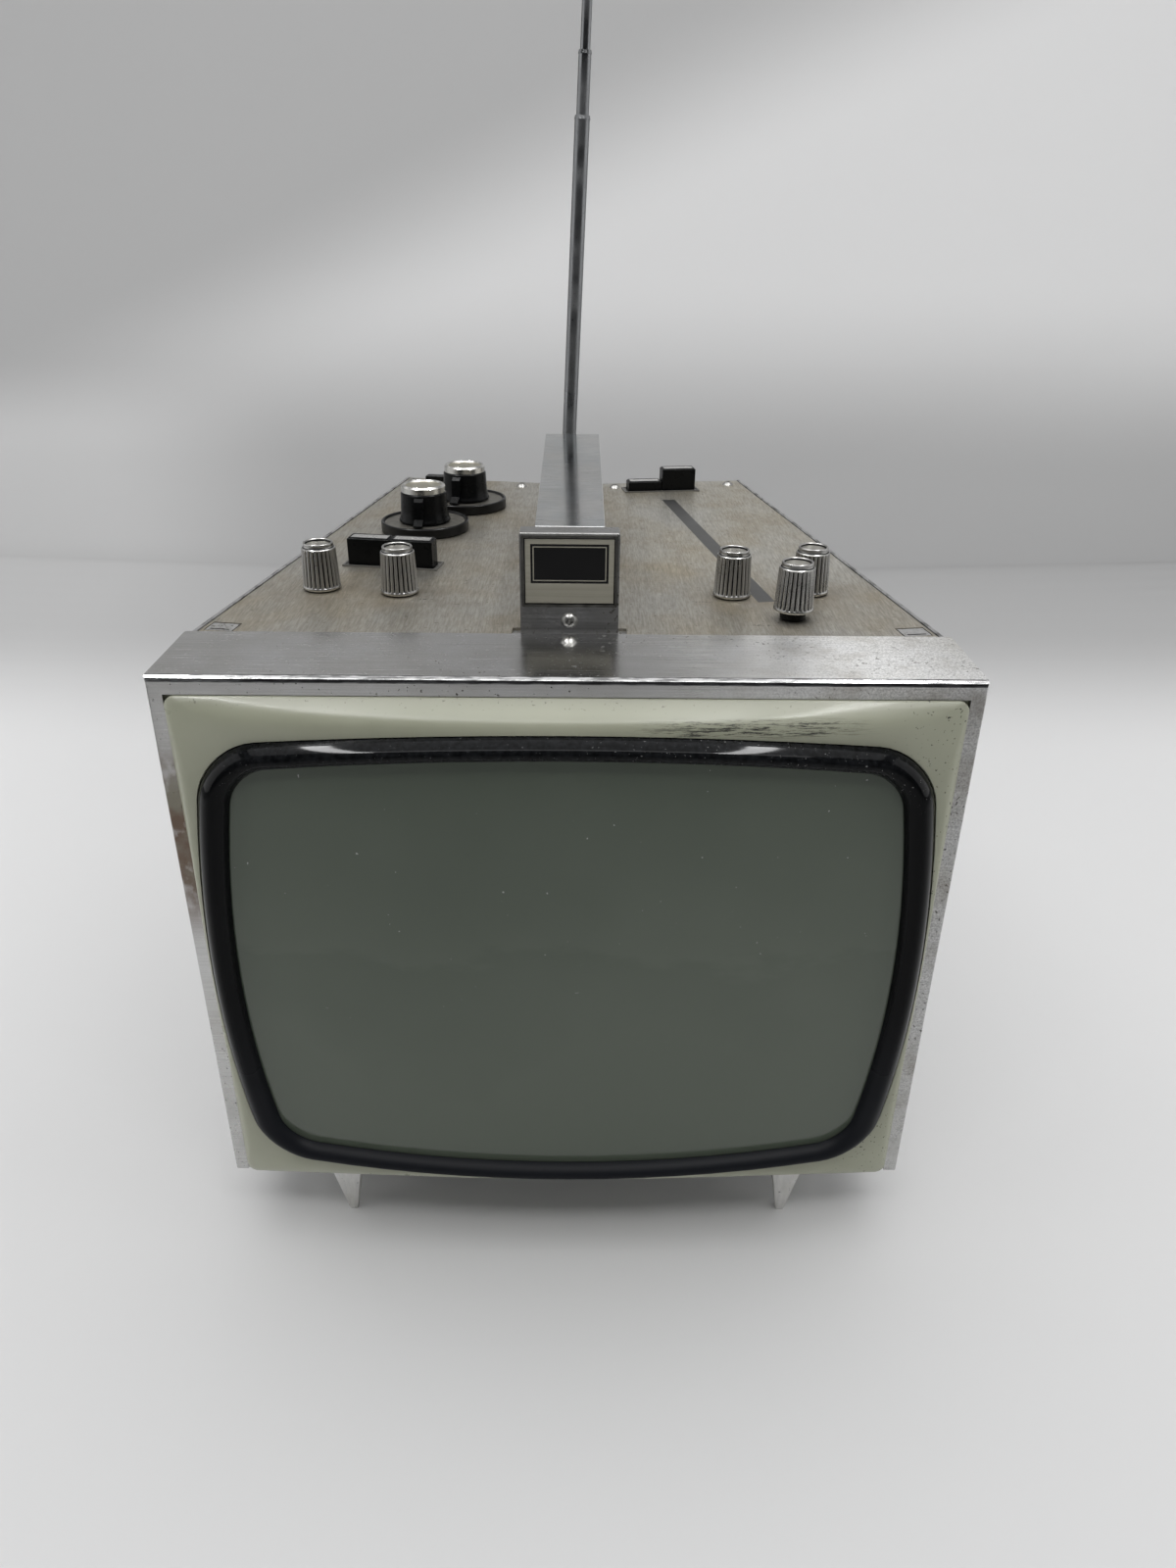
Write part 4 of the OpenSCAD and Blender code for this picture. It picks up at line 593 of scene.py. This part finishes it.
tree.links.new(ramp(tree, stains, 0.3, 0.7, grey(0.52), grey(0.38)), shader.inputs["Roughness"])
relief(tree, shader, lines, 0.07, 0.0002)
cleaned("control_panel", panel_metal, 32, 0.0002)
print("panel", [round(side, 4) for side in panel_high - panel_low])

# %% [markdown]
# ## Bright metal
# The aerial, the inlays and the screws are chromed. New chrome is nearly black and
# white; here a thin haze of noise in the roughness breaks the reflections.

# %% Chrome
def bright_metal(name, colour=(0.50, 0.50, 0.495), rough=0.12, haze=40):
    material, tree, shader = node_tree(name)
    shader.inputs["Metallic"].default_value = 1
    dull = tuple(c * 0.45 for c in colour)
    tree.links.new(ramp(tree, noise(tree, 1800, 2.0), 0.62, 0.72, colour, dull),
                   shader.inputs["Base Color"])
    haze_rough = ramp(tree, noise(tree, haze, 5.0), 0.3, 0.75, grey(rough * 0.6), grey(rough * 2))
    tree.links.new(haze_rough, shader.inputs["Roughness"])
    return material


chrome = bright_metal("chrome", (0.165, 0.169, 0.173), 0.30)
for name in ("aerial_tube_1", "aerial_tube_2", "aerial_tube_3", "aerial_rod", "aerial_tip",
             "aerial_base", "aerial_pin"):
    cleaned(name, chrome, 32)
screw_metal = bright_metal("screw_nickel", (0.27, 0.267, 0.255), 0.30, 200)
cleaned("dome_screws", screw_metal, 32)
dull_nickel = bright_metal("dull_nickel", (0.095, 0.093, 0.086), 0.38, 200)
cleaned("badge_frame", dull_nickel, 32)
inlay_metal = bright_metal("inlay_metal", (0.66, 0.65, 0.63), 0.22)
KEYS = ("front_key_left", "front_key_right", "rear_key_left", "rear_key_right")
for key in KEYS:
    dress(inlay_metal, key + "_inlay")
print("inlays", len(KEYS))

# %% [markdown]
# ## Fluted knobs
# Each small knob is turned and then fluted, as on a lathe and a milling machine. Its
# profile is a short chain of points, which one full spin turns into a closed skin.
# Then the points of the fluted rings move towards the axis, deepest in the middle of each groove.
# The grooves end above the bright foot ring and under the shoulder, and above them stand a narrow
# crest and a dished disc. A near-black finish in the grooves, in the neck under the crest and on
# the crest's inner side is painted shade.

# %% Knob profile
GROOVES = 24
STEPS = 8                    # spin steps from one groove to the next
GROOVE_HALF = 0.27           # half a groove's width, as a share of that distance
SHADED_DEPTH = 0.0003               # a face sunk deeper than this gets the painted shade
KNOB_TALL = 0.0201           # from the foot ring to the crest
SHAFT, COLLAR = 0.0020, 0.0053
BRIGHT, PAINTED_SHADE, DISC, BLACK = range(4)
KNOB_PROFILE = [             # millimetres above the foot, radius, groove depth, finish above
    (0.00, 7.90, 0.0, BRIGHT), (0.20, 8.20, 0.0, BRIGHT), (0.95, 8.25, 0.0, BRIGHT),
    (1.25, 8.05, 0.0, BRIGHT), (1.40, 8.00, 0.10, BRIGHT), (2.30, 7.97, 0.85, BRIGHT),
    (9.50, 7.62, 0.85, BRIGHT), (16.70, 7.27, 0.80, BRIGHT), (17.40, 7.25, 0.12, BRIGHT),
    (17.55, 7.22, 0.0, BRIGHT), (17.75, 7.05, 0.0, BRIGHT), (17.95, 6.72, 0.0, PAINTED_SHADE),
    (18.30, 6.42, 0.0, BRIGHT), (18.90, 6.34, 0.0, BRIGHT), (19.35, 6.45, 0.0, BRIGHT),
    (19.75, 6.42, 0.0, BRIGHT), (20.02, 6.22, 0.0, BRIGHT), (20.10, 5.95, 0.0, BRIGHT),
    (20.00, 5.68, 0.0, BRIGHT), (19.60, 5.50, 0.0, PAINTED_SHADE), (19.10, 5.42, 0.0, PAINTED_SHADE),
    (19.05, 5.25, 0.0, DISC), (18.95, 2.60, 0.0, DISC), (18.70, 0.0, 0.0, DISC)]


def knob_profile(bottom, lift):
    stem = [(bottom, 0.0, 0.0, BLACK), (bottom, SHAFT, 0.0, BLACK),
            (-lift - 0.0002, SHAFT, 0.0, BLACK)]
    if lift > 0.002:
        stem += [(0.0004 - lift, COLLAR, 0.0, BLACK), (-0.0001, COLLAR, 0.0, BLACK)]
    return stem + [(h / 1000, r / 1000, d / 1000, f) for h, r, d, f in KNOB_PROFILE]


# %% Knob skins
def sunk(spot, axis):
    """How deep the groove is here, from 0 between two grooves to 1 in the middle."""
    phase = (atan2(spot.y - axis.y, spot.x - axis.x) / (2 * pi) * GROOVES) % 1
    return max(0.0, 1 - abs(phase - 0.5) / GROOVE_HALF)


def knob_skin(name, finishes):
    low, high = corners(name)
    axis = (low + high) / 2
    foot = high.z - KNOB_TALL
    profile = knob_profile(low.z - foot, foot - panel_high.z)
    shape = bmesh.new()
    ring = shape.verts.layers.int.new("ring")
    chain = [shape.verts.new((axis.x + radius, axis.y, foot + height))
             for height, radius, depth, finish in profile]
    for number, point in enumerate(chain):
        point[ring] = number
    links = [shape.edges.new(pair) for pair in zip(chain, chain[1:])]
    bmesh.ops.spin(shape, geom=chain + links, cent=(axis.x, axis.y, 0), axis=(0, 0, 1),
                   angle=2 * pi, steps=GROOVES * STEPS, use_merge=True)
    bmesh.ops.remove_doubles(shape, verts=shape.verts, dist=0.000001)
    for face in shape.faces:
        level = min(corner[ring] for corner in face.verts)
        depth = sum(profile[corner[ring]][2] for corner in face.verts) / len(face.verts)
        deep = depth * sunk(face.calc_center_median(), axis) > SHADED_DEPTH
        face.material_index = PAINTED_SHADE if deep else profile[level][3]
    for point in shape.verts:
        outward = Vector((point.co.x - axis.x, point.co.y - axis.y, 0))
        if profile[point[ring]][2]:
            point.co -= outward.normalized() * profile[point[ring]][2] * sunk(point.co, axis)
    bmesh.ops.recalc_face_normals(shape, faces=shape.faces)
    soften(shape, 62)
    piece = new_piece(name + "_skin", shape)
    for finish in finishes:
        piece.data.materials.append(finish)
    stand_in(piece, name)
    return piece


def black_moulding(name, colour=(0.0035, 0.0038, 0.004), rough=0.28, level=0.09):
    material, tree, shader = node_tree(name)
    dust = ramp(tree, noise(tree, 700, 3.0), 0.60, 0.80)
    tree.links.new(mixed(tree, product(tree, dust, 0.05), colour, grey(0.08)),
                   shader.inputs["Base Color"])
    sheen = ramp(tree, noise(tree, 120, 4.0), 0.3, 0.7, grey(rough * 0.8), grey(rough * 1.25))
    tree.links.new(sheen, shader.inputs["Roughness"])
    relief(tree, shader, noise(tree, 1400, 2.0), 0.05, 0.0001)
    shader.inputs["Specular IOR Level"].default_value = level
    return material


knob_chrome = bright_metal("knob_chrome", (0.31, 0.306, 0.295), 0.26, 20)
knob_disc = bright_metal("knob_disc", (0.40, 0.385, 0.35), 0.26, 90)
# Painted shade: a near-black finish for the grooves, the neck under the crest and the crest's
# inner side.
knob_painted_shade = black_moulding("knob_painted_shade", (0.005, 0.005, 0.0045), 0.6, 0.1)
black = black_moulding("black_plastic")
knob_finishes = (knob_chrome, knob_painted_shade, knob_disc, black)
skins = [knob_skin(name, knob_finishes) for name in
         ("volume_knob", "tone_knob", "contrast_knob", "brightness_knob", "hold_knob")]
print("knob faces", [len(skin.data.polygons) for skin in skins])

# %% [markdown]
# ## Tuners, keys and other black mouldings
# Black plastic is never one flat black: it has a soft sheen, fine scratches and specks of dust.
# The tuners' caps hold a champagne disc with rings left by the lathe, and the face of each ring is
# anodised the same colour, dulled by dust.

# %% Black mouldings and tuners
for name in KEYS:
    cleaned(name, black, 32, 0.00025)
cleaned("range_slider", black, 32, 0.0003)
for name in ("channel_knob", "uhf_knob"):
    cleaned(name, black, 32)
frame_grey = black_moulding("frame_grey", (0.10, 0.098, 0.09), 0.4, 0.5)
cleaned("key_frames", frame_grey, 32)


def turned_face(name, radius, share):
    """A new finish, its node tree and shader, its top disc as a mask, and lathe rings."""
    low, high = corners(name)
    material, tree, shader = node_tree(name + "_finish")
    centre = ((low.x + high.x) / 2, (low.y + high.y) / 2, low.z)
    x, y, z = axes_of(tree, object_space(tree, (1, 1, 1), 0, centre))
    square = calc(tree, "ADD", calc(tree, "MULTIPLY", x, x), calc(tree, "MULTIPLY", y, y))
    span = calc(tree, "SQRT", square)
    face = product(tree, calc(tree, "LESS_THAN", span, radius),
                   calc(tree, "GREATER_THAN", z, (high.z - low.z) * share))
    turns = calc(tree, "MULTIPLY", span, 9000.0, clamp=False)
    rings = fade(tree, calc(tree, "SINE", turns, clamp=False), -1, 1)
    return material, tree, shader, face, rings


RING_FACE, CAP_FACE = 0.0206, 0.0092           # radius of the anodised discs
for name in ("channel_ring", "uhf_ring"):
    material, tree, shader, face, _ = turned_face(name, RING_FACE, 0.55)
    disc = ramp(tree, noise(tree, 300, 3.0), 0.3, 0.7, (0.11, 0.105, 0.092), (0.19, 0.18, 0.158))
    tree.links.new(mixed(tree, face, grey(0.005), disc), shader.inputs["Base Color"])
    tree.links.new(mixed(tree, face, grey(0.30), grey(0.45)), shader.inputs["Roughness"])
    tree.links.new(product(tree, face, 0.6), shader.inputs["Metallic"])
    shader.inputs["Specular IOR Level"].default_value = 0.15
    cleaned(name, material, 32)
for name in ("channel_cap", "uhf_cap"):
    material, tree, shader, face, rings = turned_face(name, CAP_FACE, 0.30)
    shader.inputs["Metallic"].default_value = 1
    disc = ramp(tree, rings, 0.0, 1.0, (0.27, 0.255, 0.21), (0.34, 0.325, 0.27))
    tree.links.new(mixed(tree, face, (0.52, 0.515, 0.49), disc), shader.inputs["Base Color"])
    tree.links.new(mixed(tree, face, grey(0.26), grey(0.44)), shader.inputs["Roughness"])
    cleaned(name, material, 32)
print("disc radii", RING_FACE, CAP_FACE)

# %% [markdown]
# ## The badge
# A champagne plate in a dull nickel frame. It carries a plain black enamelled field with a thin
# bright border just inside the field's edge. A thin black band along the plate's edge is painted
# shade in the gap to the frame.

# %% Badge plate
FIELD_WIDE, FIELD_FOOT, FIELD_HEAD = 0.86, 0.36, 0.82    # shares of half the plate
BORDER_OUTER, BORDER_INNER = 0.0009, 0.0013    # the bright border's inset in the field
GAP_SHADE_WIDTH = 0.0004
low, high = corners("badge_plate")
plate, tree, shader = node_tree("badge_plate_metal")
shader.inputs["Metallic"].default_value = 0.5
gold = ramp(tree, noise(tree, (20, 1200, 1200)), 0.3, 0.7, (0.36, 0.345, 0.28), (0.43, 0.41, 0.34))
centre = ((low.x + high.x) / 2, 0, (low.z + high.z) / 2)
x, _, z = axes_of(tree, object_space(tree, (1, 1, 1), 0, centre))
wide = (high.x - low.x) / 2
tall = (high.z - low.z) / 2


def field(inset):
    return product(tree, within(tree, x, inset - wide * FIELD_WIDE, wide * FIELD_WIDE - inset),
                   within(tree, z, inset - tall * FIELD_FOOT, tall * FIELD_HEAD - inset))


line = calc(tree, "SUBTRACT", field(BORDER_OUTER), field(BORDER_INNER))
# Painted shade: a thin black band along the plate's edge, for the gap to the frame.
inside = product(tree, within(tree, x, GAP_SHADE_WIDTH - wide, wide - GAP_SHADE_WIDTH),
                 within(tree, z, GAP_SHADE_WIDTH - tall, tall - GAP_SHADE_WIDTH))
gap_shade_band = calc(tree, "SUBTRACT", 1.0, inside)
enamel_and_gap_shade = calc(tree, "MAXIMUM", calc(tree, "SUBTRACT", field(0.0), line), gap_shade_band)
tree.links.new(mixed(tree, enamel_and_gap_shade, gold, grey(0.006)), shader.inputs["Base Color"])
tree.links.new(mixed(tree, enamel_and_gap_shade, grey(0.34), grey(0.2)), shader.inputs["Roughness"])
dress(plate, "badge_plate")
print("badge plate", round(2 * wide, 4), round(2 * tall, 4))

# %% [markdown]
# ## Cabinet, feet and back
# The cabinet is steel under grey satin paint with a fine orange peel. Along its top
# lip the paint is worn through to dark, pitted metal. The feet are cast and left
# bright, and the back is a dark moulding with a leather-like grain.

# %% Paint and casting
def painted(name, colour, rough=0.45, peel=600):
    material, tree, shader = node_tree(name)
    clouds = noise(tree, 12, 5.0)
    chips = product(tree, ramp(tree, noise(tree, 240, 4.0), 0.68, 0.72), 0.5)
    paint = ramp(tree, clouds, 0.3, 0.7, tuple(c * 0.86 for c in colour), colour)
    tree.links.new(mixed(tree, chips, paint, tuple(c * 0.4 for c in colour)),
                   shader.inputs["Base Color"])
    relief(tree, shader, noise(tree, peel), 0.12, 0.0003)
    tree.links.new(ramp(tree, clouds, 0.3, 0.7, grey(rough * 1.2), grey(rough * 0.9)),
                   shader.inputs["Roughness"])
    return material


WORN_LIP = 0.0045                              # height of the bare metal
_, shell_high = corners("cabinet_shell")
shell_paint = painted("shell_paint", (0.50, 0.50, 0.485), 0.4)
tree = shell_paint.node_tree
shader = tree.nodes["Principled BSDF"]
_, _, z = axes_of(tree, object_space(tree))
lip = calc(tree, "GREATER_THAN", z, shell_high.z - WORN_LIP)
worn_lip = ramp(tree, noise(tree, (260, 90, 260), 4.0, 0.7), 0.38, 0.52, grey(0.05), grey(0.23))
painted_body = shader.inputs["Base Color"].links[0].from_socket
tree.links.new(mixed(tree, lip, painted_body, worn_lip), shader.inputs["Base Color"])
cleaned("cabinet_shell", shell_paint, 32, 0.0003)
foot_metal = aluminium("foot_aluminium", (300, 300, 30), 0.80, 0.68, (0.5, 0.65), 0.08)
cleaned("feet", foot_metal, 32, 0.0004)
back_plastic = painted("back_plastic", (0.035, 0.034, 0.033), 0.55, 350)
cleaned("back_cover", back_plastic, 32, 0.0004)
for name in ("mains_inlet", "aerial_sockets"):
    cleaned(name, black, 32, 0.0003)
steel = bright_metal("bare_steel", (0.45, 0.45, 0.44), 0.3)
cleaned("back_screws", steel, 32)
dress(steel, "tube_screws", "tube_band", "tuner_units")
print("bare lip from", round(shell_high.z - WORN_LIP, 4))

# %% [markdown]
# ## Inside the cabinet
# Little of the inside shows through the slots, yet each piece gets its own finish:
# enamelled copper on the yoke, brown laminate for the board, lacquered iron for the
# transformers.

# %% Inner finishes
copper = bright_metal("coil_copper", (0.50, 0.20, 0.08), 0.35, 300)
board = painted("board_laminate", (0.20, 0.10, 0.035), 0.45)
iron = painted("lacquered_iron", (0.06, 0.06, 0.065), 0.5)
neck_glass, tree, shader = node_tree("neck_glass")
tree.links.new(ramp(tree, noise(tree, 40), 0.3, 0.7, (0.30, 0.34, 0.34), (0.38, 0.42, 0.42)),
               shader.inputs["Base Color"])
shader.inputs["Roughness"].default_value = 0.05
dress(copper, "deflection_yoke")
dress(board, "main_board", "tube_socket", "key_switches", "potentiometers", "range_switch")
dress(iron, "speaker", "mains_transformer", "line_transformer", "tube_funnel")
dress(neck_glass, "tube_neck")
print("finishes", len(bpy.data.materials))
